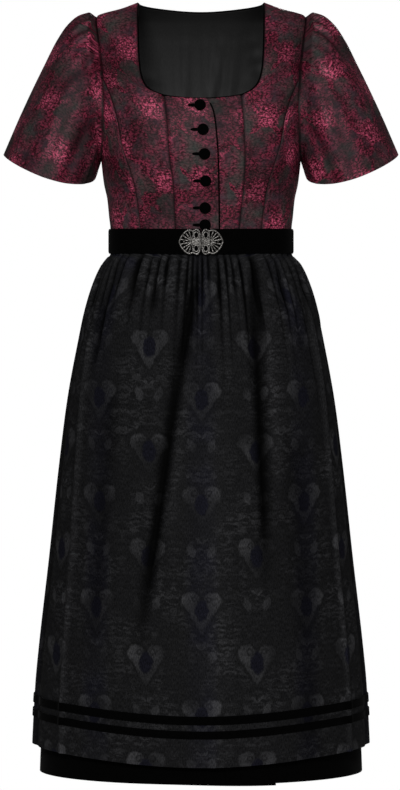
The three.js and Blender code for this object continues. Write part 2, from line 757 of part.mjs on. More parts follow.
const beltBow = (point, down) => {
  const fade = 1 - smoothstep(Math.abs(point.x), 37, 80);
  return point.y < 0 ? BELT_BOW * fade * (1 - 0.5 * down) : 0;
};

function beltPoint(angle, down, moved) {
  const z = BELT_TOP_Z - WAIST_TILT * Math.cos(angle) - down * BELT_HEIGHT;
  const point = ringPoint(BELT_RING, angle, z);
  const normal = outward((a, height) => ringPoint(BELT_RING, a, height), angle, z);
  return point.addScaledVector(normal, BELT_WALL + beltBow(point, down) + moved);
}

function addBelt() {
  const angles = steps(BELT_OPENING, 2 * Math.PI - BELT_OPENING, 60);
  addLayer("belt", [0, 1], () => angles, beltPoint, BELT_WALL, material.velvet, false);
}

// Clasp halves: cast openwork plates, scalloped like a shell, with slots and two loops.
const CLASP_Z = -365.4;
const CLASP_PLATE = 2;
const CLASP_STANDOFF = 0.8;
const CLASP_TURN = degrees(2.4);
const CLASP_TILT = Math.atan2(0.5 * BELT_BOW, BELT_HEIGHT);
const CLASP_OUTLINE_X_Z = [
  [0.6, 0],
  [0.6, 8],
  [1.5, 15],
  [6, 19],
  [10.5, 17.3],
  [12.5, 16.6],
  [17, 18.2],
  [22, 16.4],
  [26.5, 12.4],
  [30.5, 6.6],
  [33, 0],
];
const CLASP_CENTRE_X = 12; // the slots fan out from here
const CLASP_SLOT_START = 6;
const CLASP_SLOT_HALF_WIDTH = 1.3;
const CLASP_LOOP_X_Z_RADIUS = [6, 11.5, 2.5];
const CLASP_SLOT_ANGLES = [-66, -44, -22, 22, 44, 66];

function claspShape() {
  const rim = new THREE.SplineCurve(CLASP_OUTLINE_X_Z.map((row) => new THREE.Vector2(...row)));
  const upper = rim.getPoints(18);
  const lower = upper.slice(1, -1).reverse().map(({ x, y }) => new THREE.Vector2(x, -y));
  const shape = new THREE.Shape([...upper, ...lower]);
  const [loopX, loopZ, loopRadius] = CLASP_LOOP_X_Z_RADIUS;
  for (const side of [-1, 1]) {
    const loop = new THREE.Path();
    loop.absarc(loopX, side * loopZ, loopRadius, 0, 2 * Math.PI, false);
    shape.holes.push(new THREE.Path(loop.getPoints(3).slice(0, -1)));
  }
  const widest = CLASP_SLOT_ANGLES.at(-1);
  for (const slotAngle of CLASP_SLOT_ANGLES) {
    const along = new THREE.Vector2(1, 0).rotateAround(new THREE.Vector2(), degrees(slotAngle));
    const across = new THREE.Vector2(-along.y, along.x);
    const end = lerp(16, 13.5, Math.abs(slotAngle) / widest);
    const shoulder = end - 3;
    const half = CLASP_SLOT_HALF_WIDTH;
    const slot = [[CLASP_SLOT_START, 0], [shoulder, -half], [end, 0], [shoulder, half]].map(([r, w]) => {
      return new THREE.Vector2(CLASP_CENTRE_X, 0).addScaledVector(along, r).addScaledVector(across, w);
    });
    shape.holes.push(new THREE.Path(slot));
  }
  return shape;
}

function addClaspHalf(name, side) {
  const geometry = new THREE.ExtrudeGeometry(claspShape(), { depth: CLASP_PLATE, bevelEnabled: false });
  geometry.rotateX(degrees(90));
  if (side < 0) geometry.rotateZ(Math.PI);
  const mesh = new THREE.Mesh(geometry, material.silver);
  mesh.name = name;
  const turned = new THREE.Group();
  const beltFace = beltPoint(BELT_OPENING, 0.5, 0).y;
  turned.position.set(0, beltFace - CLASP_STANDOFF, CLASP_Z);
  turned.rotation.set(CLASP_TILT, 0, side * CLASP_TURN);
  if (side < 0) mesh.position.y = -CLASP_PLATE;
  turned.add(mesh);
  group.add(turned);
}

// Buttons: velvet-covered domes down the placket.
const BUTTON_RADIUS = 8.5;
const BUTTON_HEIGHT = 4.6;
const BUTTON_RIM = 1.1; // the dome stands off the cloth on a short shank
const BUTTON_SHANK = 2.6;
const BUTTON_LAY = 0.5;
const BUTTONS_X_Z = [
  [-1.5, -166],
  [2.9, -201.8],
  [5.1, -237],
  [6.6, -275.8],
  [5.9, -315.3],
  [5.9, -340.5],
];

function addButton(name, x, z) {
  const dome = steps(0, degrees(72), 3).map((turn) => {
    const height = BUTTON_RIM + (BUTTON_HEIGHT - BUTTON_RIM) * Math.sin(turn);
    return new THREE.Vector2(BUTTON_RADIUS * Math.cos(turn), height);
  });
  const shank = [[0, 0], [BUTTON_SHANK, 0], [BUTTON_SHANK, BUTTON_RIM]].map((row) => {
    return new THREE.Vector2(...row);
  });
  const profile = [...shank, ...dome, new THREE.Vector2(0, BUTTON_HEIGHT)];
  const mesh = new THREE.Mesh(new THREE.LatheGeometry(profile, 14), material.velvet);
  const angle = frontAngle(x, z);
  const normal = outward(torso, angle, z);
  mesh.name = name;
  mesh.position.copy(torso(angle, z)).addScaledVector(normal, PLACKET_LIFT + BUTTON_LAY);
  mesh.quaternion.setFromUnitVectors(new THREE.Vector3(0, 1, 0), normal);
  group.add(mesh);
}

const princess = { right: frontSeam(PRINCESS_X_Z.right), left: frontSeam(PRINCESS_X_Z.left) };
addCentreFronts(princess);
addSideFront("side_front_right", -1, princess.right, PRINCESS_TOP_X.right);
addSideFront("side_front_left", 1, princess.left, PRINCESS_TOP_X.left);
addSidePanel("side_panel_right", -1);
addSidePanel("side_panel_left", 1);
addBack();
addPipings();
addSleeve("sleeve_right", -1);
addSleeve("sleeve_left", 1);
addLayer("skirt", SKIRT_LEVELS, skirtAngles, skirtPoint, SKIRT_CLOTH, material.skirtCloth, true);
addHemBand();
addLayer("apron", APRON_LEVELS, apronAngles, apronPoint, JACQUARD, material.jacquard, false);
addRibbon("ribbon_upper", RIBBONS.upper);
addRibbon("ribbon_lower", RIBBONS.lower);
addBelt();
addClaspHalf("clasp_right", -1);
addClaspHalf("clasp_left", 1);
BUTTONS_X_Z.forEach(([x, z], i) => addButton(`button_${i + 1}`, x, z));

export default group;
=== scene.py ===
"""A dirndl worn by nobody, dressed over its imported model. Sizes are in millimetres, as a cutter
writes them, and meshes go in as metres. +X is the wearer's left, -Y the front, +Z up, and angles
run round the body from 0 at centre front towards +X."""
from functools import partial

import bmesh
import bpy
import numpy as np
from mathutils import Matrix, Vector


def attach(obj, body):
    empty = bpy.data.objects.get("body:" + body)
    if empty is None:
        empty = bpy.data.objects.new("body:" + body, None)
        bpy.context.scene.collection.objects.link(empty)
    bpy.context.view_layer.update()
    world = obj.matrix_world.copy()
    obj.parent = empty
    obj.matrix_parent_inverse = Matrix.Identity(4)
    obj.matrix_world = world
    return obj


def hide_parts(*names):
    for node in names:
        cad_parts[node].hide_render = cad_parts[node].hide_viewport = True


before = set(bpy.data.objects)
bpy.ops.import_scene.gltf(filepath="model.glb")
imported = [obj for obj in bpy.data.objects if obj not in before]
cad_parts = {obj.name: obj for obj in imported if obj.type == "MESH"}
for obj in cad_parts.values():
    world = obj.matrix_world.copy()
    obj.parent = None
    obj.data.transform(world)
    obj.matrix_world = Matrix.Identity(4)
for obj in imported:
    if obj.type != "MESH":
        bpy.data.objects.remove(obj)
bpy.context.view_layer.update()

# ---- Camera, light and floor ---------------------------------------------------------------
# A white studio: soft boxes high in front and at the sides, a white surround, and a round pale
# floor a little below the hem. The camera stands level with the middle of the skirt, far off.
CAMERA_PLACE = (-0.0015, -4.5, -0.590)
FRAME_HEIGHT = 1.185  # metres across the frame at the distance of the garment
FLOOR_Z = -1.35
FLOOR_RADIUS, FLOOR_SIDES = 1.1, 96
SURROUND_LIGHT = 0.12  # what the surround adds to the cloth, against 1 where it is seen


def srgb(text):
    """A hex colour as linear light: v/12.92 below 0.04045, else ((v + 0.055)/1.055)^2.4."""
    value = np.array([int(text[i:i + 2], 16) for i in (1, 3, 5)]) / 255
    linear = np.where(value < 0.04045, value / 12.92, ((value + 0.055) / 1.055) ** 2.4)
    return (*linear.tolist(), 1.0)


def add(tree, kind, *inputs, out=0, numbered=None, **named):
    """Adds a node to the tree. Its kind may name its operation after a space. Its sockets come in
    order, by number or by name, each a number, a vector, a hex colour or another node's output;
    a name that is no socket's is a property's. Gives the output called out."""
    kind, _, operation = kind.partition(" ")
    node = tree.nodes.new("ShaderNode" + kind)
    if operation:
        node.operation = operation
    sockets = {**dict(enumerate(inputs)), **(numbered or {})}
    for name, value in named.items():
        if name in node.inputs:
            sockets[name] = value
        else:
            setattr(node, name, value)
    for key, value in sockets.items():
        if isinstance(value, bpy.types.NodeSocket):
            tree.links.new(value, node.inputs[key])
        else:
            is_colour = isinstance(value, str)
            node.inputs[key].default_value = srgb(value) if is_colour else value
    return node.outputs[out]


def soft_box(name, place, aim, size, power):
    """A rectangular area lamp at a place, turned towards its aim."""
    light = bpy.data.lights.new(name, "AREA")
    light.shape = "RECTANGLE"
    light.size, light.size_y = size
    light.energy = power
    lamp = bpy.data.objects.new(name, light)
    lamp.location = place
    lamp.rotation_euler = (Vector(aim) - Vector(place)).to_track_quat("-Z", "Y").to_euler()
    bpy.context.scene.collection.objects.link(lamp)


camera = bpy.data.objects.new("camera", bpy.data.cameras.new("camera"))
camera.location = CAMERA_PLACE
camera.rotation_euler = (np.pi / 2, 0, 0)
camera.data.lens = camera.data.sensor_width * -CAMERA_PLACE[1] / FRAME_HEIGHT
camera.data.clip_end = 30
bpy.context.scene.collection.objects.link(camera)
bpy.context.scene.camera = camera
bpy.context.scene.view_settings.view_transform = "Standard"

# The surround looks white but lights the cloth softly, as flags round a studio table do.
world = bpy.data.worlds.new("studio")
bpy.context.scene.world = world
world.use_nodes = True
seen = add(world.node_tree, "LightPath", out="Is Camera Ray")
strength = add(world.node_tree, "MapRange", seen, 0.0, 1.0, SURROUND_LIGHT, 1.0)
world.node_tree.links.new(strength, world.node_tree.nodes["Background"].inputs["Strength"])
world.node_tree.nodes["Background"].inputs["Color"].default_value = (1, 1, 1, 1)
soft_box("key", (-0.6, -3.8, 0.8), (0, 0, -0.4), (0.8, 0.8), 62)
soft_box("fill", (1.3, -3.5, 0.1), (0, 0, -0.4), (0.9, 1.6), 18)
soft_box("back", (0.3, 3.9, 0.7), (0, 0, -0.45), (1.2, 1.2), 80)

around = np.linspace(0, 2 * np.pi, FLOOR_SIDES, endpoint=False)
rim = np.stack([np.cos(around), np.sin(around), 0 * around], axis=1) * FLOOR_RADIUS
floor_mesh = bpy.data.meshes.new("floor")
floor_mesh.from_pydata((rim + [0, 0, FLOOR_Z]).tolist(), [], [list(range(FLOOR_SIDES))])
floor = bpy.data.objects.new("floor", floor_mesh)
bpy.context.scene.collection.objects.link(floor)
paper = bpy.data.materials.new("studio_paper")
paper.use_nodes = True
paper_shader = paper.node_tree.nodes["Principled BSDF"]
paper_shader.inputs["Base Color"].default_value = srgb("#f2f1ee")
paper_shader.inputs["Roughness"].default_value = 0.9
floor_mesh.materials.append(paper)

# ---- Bodice panels -------------------------------------------------------------------------
# Six fronts and sides and one back in polyester brocade, cut to princess seams, joined with the
# seams pressed open, so each seam shows as a narrow groove. The neck is low and square.
MM = 0.001  # metres
BROCADE = 1.5
NECK_POINT_X, NECK_POINT_Z = 94.5, -1
SHOULDER_END_Z, UNDERARM_Z = -23, -240
ARMHOLE_HALF_DEPTH = 66
NECK_FRONT_Z, NECK_BACK_DIP = -155.5, 8
NECK_CORNER_X, NECK_CORNER_RISE = 56, 5
WAIST_Z, WAIST_TILT = -358, 5
PLACKET_LIFT, PLACKET_RISE_X = 1.9, (-44, -20)  # it rises between these, and runs on
SEAM_DEPTH, SEAM_WIDTH = 1.4, 2.1
FRONT_JOIN, BACK_JOIN = np.radians([84, 260])
BACK_SEAM_ANGLE = np.radians(125)

TORSO_ROWS = [
    # z, half width, depth in front, depth behind, squareness
    (1, 89, 10, 42, 2.6),
    (-1, 94.5, 14, 46, 2.6),
    (-10, 117, 25, 60, 2.6),
    (-23, 156, 42, 72, 2.7),
    (-50, 159, 62, 84, 2.8),
    (-100, 161, 87, 94, 2.9),
    (-132, 160.5, 98, 97, 3),
    (-180, 158, 110, 98, 2.9),
    (-215, 153, 113, 97, 2.7),
    (-240, 149.5, 111, 95, 2.6),
    (-273, 145.6, 105, 91, 2.5),
    (-297, 140.5, 99, 88, 2.4),
    (-325, 137.6, 95.5, 86.5, 2.4),
    (-340, 135.9, 94, 86, 2.4),
    (-358, 135.8, 94, 86, 2.4),
    (-370, 135.8, 94, 86, 2.4),
]


def table(rows):
    """The columns of rows as smooth functions of the first: cubic pieces whose slope at a row is
    the harmonic mean of the slopes beside it, or 0 where they change sign, so none overshoots."""
    rows = np.array(sorted(rows), float)
    keys, values = rows[:, 0], rows[:, 1:]
    secants = np.diff(values, axis=0) / np.diff(keys)[:, None]
    before, after = np.vstack([secants[:1], secants]), np.vstack([secants, secants[-1:]])
    rising = before * after > 0
    slopes = np.where(rising, 2 * before * after / np.where(rising, before + after, 1), 0)

    def read(key):
        key = np.clip(key, keys[0], keys[-1])
        i = np.clip(np.searchsorted(keys, key) - 1, 0, len(keys) - 2)
        width = (keys[i + 1] - keys[i])[..., None]
        t = (key - keys[i])[..., None] / width
        bend = t * (1 - t) * (slopes[i] * (1 - t) - slopes[i + 1] * t) * width
        found = values[i] + (values[i + 1] - values[i]) * t * t * (3 - 2 * t) + bend
        return np.moveaxis(found, -1, 0)

    return read


def smoothstep(value, start, end):
    """0 before start, 1 after end, and t*t*(3 - 2t) between."""
    t = np.clip((value - start) / (end - start), 0, 1)
    return t * t * (3 - 2 * t)


def ring_point(ring, angle, z):
    """A point on a rounded ring: its reach r solves |r sin/a|^n + |r cos/d|^n = 1, with a the
    half width, d the depth in front or behind, and n the squareness."""
    half_width, front, back, squareness = ring[:4]
    depth = np.where(np.cos(angle) > 0, front, back)
    across = np.abs(np.sin(angle) / half_width) ** squareness
    along = np.abs(np.cos(angle) / depth) ** squareness
    reach = (across + along) ** (-1 / squareness)
    return np.stack([reach * np.sin(angle), -reach * np.cos(angle), z + 0 * reach], axis=-1)


def unit(vectors):
    return vectors / np.maximum(np.linalg.norm(vectors, axis=-1, keepdims=True), 1e-9)


def outward(surface, angle, z, turn=0.01, rise=1):
    """The way off a surface: the cross product of its small steps round and up."""
    around = surface(angle + turn, z) - surface(angle - turn, z)
    up = surface(angle, z + rise) - surface(angle, z - rise)
    return unit(np.cross(around, up))


torso_ring = table(TORSO_ROWS)


def torso(angle, z):
    return ring_point(torso_ring(z), angle, z)


def front_angle(x, z):
    """The angle at which the front of the body has this x, from the ring's own formula."""
    half_width, front, _, squareness = torso_ring(z)
    share = np.minimum(1, np.abs(x) / half_width) ** squareness
    return np.arctan2(x, front * (1 - share) ** (1 / squareness))


def waist_z(angle):
    return WAIST_Z - WAIST_TILT * np.cos(angle)


def spline(rows, steps=400):
    """A Catmull-Rom curve through rows, read by its share of length."""
    points = np.array(rows, float)
    padded = np.vstack([points[:1], points, points[-1:]])
    t = np.linspace(0, len(points) - 1, steps)
    i = np.minimum(t.astype(int), len(points) - 2)
    a, b, c, d = (padded[i + k] for k in range(4))
    f = (t - i)[:, None]
    curve = b + (c - a) * f / 2 + (2 * a - 5 * b + 4 * c - d) * f ** 2 / 2
    curve += (3 * b - a - 3 * c + d) * f ** 3 / 2
    length = np.append(0, np.cumsum(np.linalg.norm(np.diff(curve, axis=0), axis=1)))
    return lambda share: np.stack(
        [np.interp(np.asarray(share) * length[-1], length, column) for column in curve.T], axis=-1)


def place(angle, z):
    return np.stack(np.broadcast_arrays(np.asarray(angle, float), np.asarray(z, float)), axis=-1)


def front_seam(rows):
    """A seam on the front from x and z rows, the first at the waist: places by share of length."""
    start_x = rows[0][0]
    curve = spline([(start_x, waist_z(front_angle(start_x, np.float64(WAIST_Z)))), *rows[1:]])

    def read(share):
        x, z = np.moveaxis(curve(share), -1, 0)
        return place(front_angle(x, z), z)

    return read


def neck_front_z(x):
    """The front neckline's height, which rises towards its corners as x squared."""
    return NECK_FRONT_Z + NECK_CORNER_RISE * (x / NECK_CORNER_X) ** 2


def armhole(side, turn):
    """The armhole, turned through from 0 at the shoulder end over the front, pi at the underarm:
    its height falls as a cosine, and it is sin(pi down^1.6)^0.45 of its half depth deep, down
    being its share of the way down."""
    turn = np.mod(turn, 2 * np.pi)
    down = (1 - np.cos(turn)) / 2
    z = SHOULDER_END_Z + (UNDERARM_Z - SHOULDER_END_Z) * down
    half_width, front, back, squareness = torso_ring(z)
    is_front = turn < np.pi
    depth = ARMHOLE_HALF_DEPTH * np.maximum(0, np.sin(np.pi * down ** 1.6)) ** 0.45
    share = (depth / np.where(is_front, front, back)) ** squareness
    x = half_width * (1 - share) ** (1 / squareness)
    return place(side * np.arctan2(x, np.where(is_front, depth, -depth)), z)


PRINCESS_TOP_X = {-1: 54.3, 1: 59.4}
PRINCESS = {
    -1: front_seam([(-37.5, WAIST_Z), (-38.2, -345), (-41, -282), (-46.2, -245), (-49.9, -194),
                    (-54.3, neck_front_z(54.3))]),
    1: front_seam([(57, WAIST_Z), (57.2, -345), (61, -300), (65, -250), (63, -194),
                   (59.4, neck_front_z(59.4))]),
}
SIDE_FRONT_ROWS = [(89, WAIST_Z), (90, -344), (97, -290), (107, -256), (119, -216), (124, -185),
                   (134, -150)]
PLACKET_TOP_X = 7.3
PLACKET = front_seam([(25.6, WAIST_Z), (25.6, -340), (24.2, -252.6), (21.2, -205), (17.6, -178),
                      (12.5, -164), (PLACKET_TOP_X, neck_front_z(PLACKET_TOP_X))])
UNDER_EDGE_X = -14
UNDER_EDGE = front_seam([(UNDER_EDGE_X, WAIST_Z), (UNDER_EDGE_X, -250),
                         (UNDER_EDGE_X, neck_front_z(UNDER_EDGE_X))])


def side_front_seam(side):
    join = torso(*armhole(side, FRONT_JOIN))
    return front_seam([*[(side * x, z) for x, z in SIDE_FRONT_ROWS], (join[0], join[2])])


def back_seam(side):
    """From the waist at the back up to the armhole, curving in as share^1.3."""
    waist = place(side * BACK_SEAM_ANGLE, waist_z(BACK_SEAM_ANGLE))
    join = armhole(side, BACK_JOIN)

    def read(share):
        share = np.asarray(share, float)
        angle = waist[0] + (join[0] - waist[0]) * share ** 1.3
        return place(angle, waist[1] + (join[1] - waist[1]) * share)

    return read


def neck_side(side):
    """The neckline of one side, from its princess seam round the corner to the neck point."""
    start_x = PRINCESS_TOP_X[side]
    curve = spline([(side * start_x, neck_front_z(start_x)), (side * 74, -142.5),
                    (side * 85, -129.5), (side * 91, -105), (side * 93.5, -61),
                    (side * NECK_POINT_X, -20), (side * NECK_POINT_X, NECK_POINT_Z)])

    def read(share):
        x, z = np.moveaxis(curve(share), -1, 0)
        angle = np.where(np.asarray(share) >= 1, side * np.pi / 2, front_angle(x, z))
        return place(angle, z)

    return read


def waist_edge(start, end):
    def read(share):
        angle = start[0] + (end[0] - start[0]) * share
        return place(angle, waist_z(angle))
    return read


def neck_edge(from_x, to_x):
    def read(share):
        x = from_x + (to_x - from_x) * share
        return place(front_angle(x, neck_front_z(x)), neck_front_z(x))
    return read


def joined(lower, upper):
    """Two edges end to end, each taking half the share."""
    def read(share):
        share = np.asarray(share, float)
        low, high = lower(np.minimum(2 * share, 1)), upper(np.maximum(2 * share - 1, 0))
        return np.where((share <= 0.5)[..., None], low, high)
    return read


def patch(left, right, bottom, top, u, v):
    """Places inside four edges: the two straight blends less the blend of the corners."""
    across, up = u[None, :, None], v[:, None, None]
    rails = (1 - across) * left(v)[:, None] + across * right(v)[:, None]
    ends = (1 - up) * bottom(u)[None] + up * top(u)[None]
    low = (1 - across) * left(0.0) + across * right(0.0)
    high = (1 - across) * left(1.0) + across * right(1.0)
    return np.moveaxis(rails + ends - (1 - up) * low - up * high, -1, 0)


def shares(count, edge=0.01):
    """Even shares from 0 to 1 with two more close to each end, where an edge turns over."""
    inner = np.linspace(0, 1, count + 1)[1:-1]
    return np.concatenate([[0, edge / 3, edge], inner, [1 - edge, 1 - edge / 3, 1]])


def run_lengths(points, axis):
    """Length run along one direction of a grid, from its first row or column."""
    step = np.linalg.norm(np.diff(points, axis=axis), axis=-1)
    start = np.zeros_like(np.take(step, [0], axis=axis))
    return np.concatenate([start, np.cumsum(step, axis=axis)], axis=axis)


def add_mesh(name, points, faces, finish):
    """Points in millimetres and the faces between them as a smooth mesh on the body."""
    mesh = bpy.data.meshes.new(name)
    mesh.from_pydata((points * MM).tolist(), [], faces)
    mesh.polygons.foreach_set("use_smooth", np.ones(len(faces), bool))
    mesh.materials.append(finish)
    piece = bpy.data.objects.new(name, mesh)
    bpy.context.scene.collection.objects.link(piece)
    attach(piece, "root")
    return piece


def add_grid(name, points, finish, uv=None, wall=0, is_tube=False, about=None, shade=None):
    """A grid of points as a mesh of quads with its faces outwards, a tube's last column joined to
    its first. uv is the cloth's own run across and along in metres, with one more column on a
    tube; shade is the painted shade each point takes for how deep it lies in a seam or fold, and
    below 0 a painted highlight on a ridge; wall is the cloth's thickness, inwards."""
    rows, columns = points.shape[:2]
    index = np.arange(rows * columns).reshape(rows, columns)
    uv_index = np.arange(rows * (columns + is_tube)).reshape(rows, -1)
    if is_tube:
        index = np.concatenate([index, index[:, :1]], axis=1)
    quads, corners = (np.stack([i[:-1, :-1], i[:-1, 1:], i[1:, 1:], i[1:, :-1]],
                               axis=-1).reshape(-1, 4) for i in (index, uv_index))
    flat = points.reshape(-1, 3)
    corner = flat[quads]
    normal = np.cross(corner[:, 2] - corner[:, 0], corner[:, 3] - corner[:, 1])
    centre = corner.mean(axis=1)
    origin = centre * [0, 0, 1] if about is None else np.asarray(about, float)
    if np.sum(normal * (centre - origin)) < 0:
        quads, corners = quads[:, ::-1], corners[:, ::-1]
    piece = add_mesh(name, flat, quads.tolist(), finish)
    if uv is not None:
        layer = piece.data.uv_layers.new(name="cloth")
        layer.data.foreach_set("uv", uv.reshape(-1, 2)[corners.ravel()].ravel())
    if shade is not None:
        depths = piece.data.attributes.new("shade", "FLOAT", "POINT")
        depths.data.foreach_set("value", shade.ravel())
    if wall:
        solidify = piece.modifiers.new("wall", "SOLIDIFY")
        solidify.thickness = wall * MM
        solidify.offset = -1
    return piece


def fit(piece, node):
    """Hides the imported part of its node, which the piece stands in for.
    The piece itself is not used."""
    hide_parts(node)


def new_material(name):
    """A named material, the way to add a node to its tree, and its Principled shader."""
    material = bpy.data.materials.new(name)
    material.use_nodes = True
    tree = material.node_tree
    return material, partial(add, tree), tree.nodes["Principled BSDF"]


def finish_shader(shader, **inputs):
    """Sets or links the shader's sockets by name, with an underscore for each space."""
    for name, value in inputs.items():
        socket = shader.inputs[name.replace("_", " ")]
        if isinstance(value, bpy.types.NodeSocket):
            shader.id_data.links.new(value, socket)
        else:
            socket.default_value = value


PEONY_COLUMN, PEONY_REPEAT = 62, 110  # mm between columns, and down a column
PEONY_RADIUS, BUD_RADIUS = 23, 14
PEONY_LEAVES = [((17, -21), -0.7, 17, 6), ((25, 8), 0.9, 13, 4)]  # middle, turn, length, half width
BUD_LEAF = ((11, -13), -0.8, 11, 4)
DRIFT, DRIFT_SIZE = 5.0, 9  # mm that the drawing strays from true in the weave, and in what run
HAZE_SIZE, PAINTED_SHEEN_SIZE, WISP_SIZE, LACE_SIZE = 48, 70, 20, 9  # mm, how coarse each of these is
FLOAT_LENGTH, FLOAT_APART = 4.5, 2.4
GROUND, CRIMSON, BINDING_AND_PAINTED_SHADE = ("#3b3e3b", "#48303a"), ("#8e3049", "#dc5c7e"), "#0d0809"
NAP_IN_METRE, LINING_THREADS_IN_METRE = 240.0, (900.0, 900.0, 90.0)


def half_drop(node, spot, width, height):
    """A half-drop repeat: how far a spot lies across from the middle of its column and up from
    the middle of its motif, every other column being shifted by half a height."""
    x = node("SeparateXYZ", spot, out="X")
    y = node("SeparateXYZ", spot, out="Y")
    column = node("Math DIVIDE", x, width)
    shift = node("Math FRACT", node("Math MULTIPLY", node("Math FLOOR", column), 0.5))
    row = node("Math ADD", node("Math DIVIDE", y, height), shift)
    across = node("Math SUBTRACT", node("Math FRACT", column), 0.5)
    up = node("Math SUBTRACT", node("Math FRACT", row), 0.5)
    return node("Math MULTIPLY", across, width), node("Math MULTIPLY", up, height)


def peony(node, x, y, radius):
    """A peony from the side, fanned out from a base 0.45 radii below its middle. Its rim lies
    where reach / 1.4 radii is (0.66 + 0.34 cos turn)(0.85 + 0.2 |sin 4.5 turn|), the last being
    its petals' notches. Gives how far inside it a spot is, from 1 at the base to 0 at the rim,
    and the dark strokes: a rim to each of three rings of petals, and 17 rays."""
    up = node("Math ADD", y, radius * 0.45)
    reach = node("VectorMath LENGTH", node("CombineXYZ", x, up), out="Value")
    reach = node("Math DIVIDE", reach, radius * 1.4)
    turn = node("Math ARCTAN2", x, up)
    fan = node("Math MULTIPLY_ADD", node("Math COSINE", turn), 0.34, 0.66)
    notch = node("Math ABSOLUTE", node("Math SINE", node("Math MULTIPLY", turn, 4.5)))
    notch = node("Math MULTIPLY_ADD", notch, 0.2, 0.85)
    size = node("Math DIVIDE", reach, node("Math MULTIPLY", fan, notch))
    ring = node("Math FRACT", node("Math MULTIPLY", size, 3.0))
    rims = node("MapRange", ring, 0.05, 0.3, 1.0, 0.0)
    rays = node("Math SINE", node("Math MULTIPLY", turn, 17.0))
    strokes = node("Math MULTIPLY", node("MapRange", rays, 0.0, 0.9, 0.0, 1.0), ring)
    return node("Math SUBTRACT", 1.0, size), node("Math MAXIMUM", rims, strokes)


def leaf(node, x, y, middle, turned, length, half_width):
    """A pointed leaf and its mirror image: how far a spot lies inside |across| / half width +
    (along / length)^2 = 1, measured from the leaf's middle along its own turned axis."""
    off = node("VectorMath SUBTRACT", node("CombineXYZ", node("Math ABSOLUTE", x), y), (*middle, 0))
    cosine, sine = float(np.cos(turned)), float(np.sin(turned))
    along = node("VectorMath DOT_PRODUCT", off, (cosine / length, sine / length, 0), out="Value")
    across = node("VectorMath DOT_PRODUCT", off, (-sine / half_width, cosine / half_width, 0),
                  out="Value")
    size = node("Math MULTIPLY_ADD", along, along, node("Math ABSOLUTE", across))
    return node("Math SUBTRACT", 1.0, size)


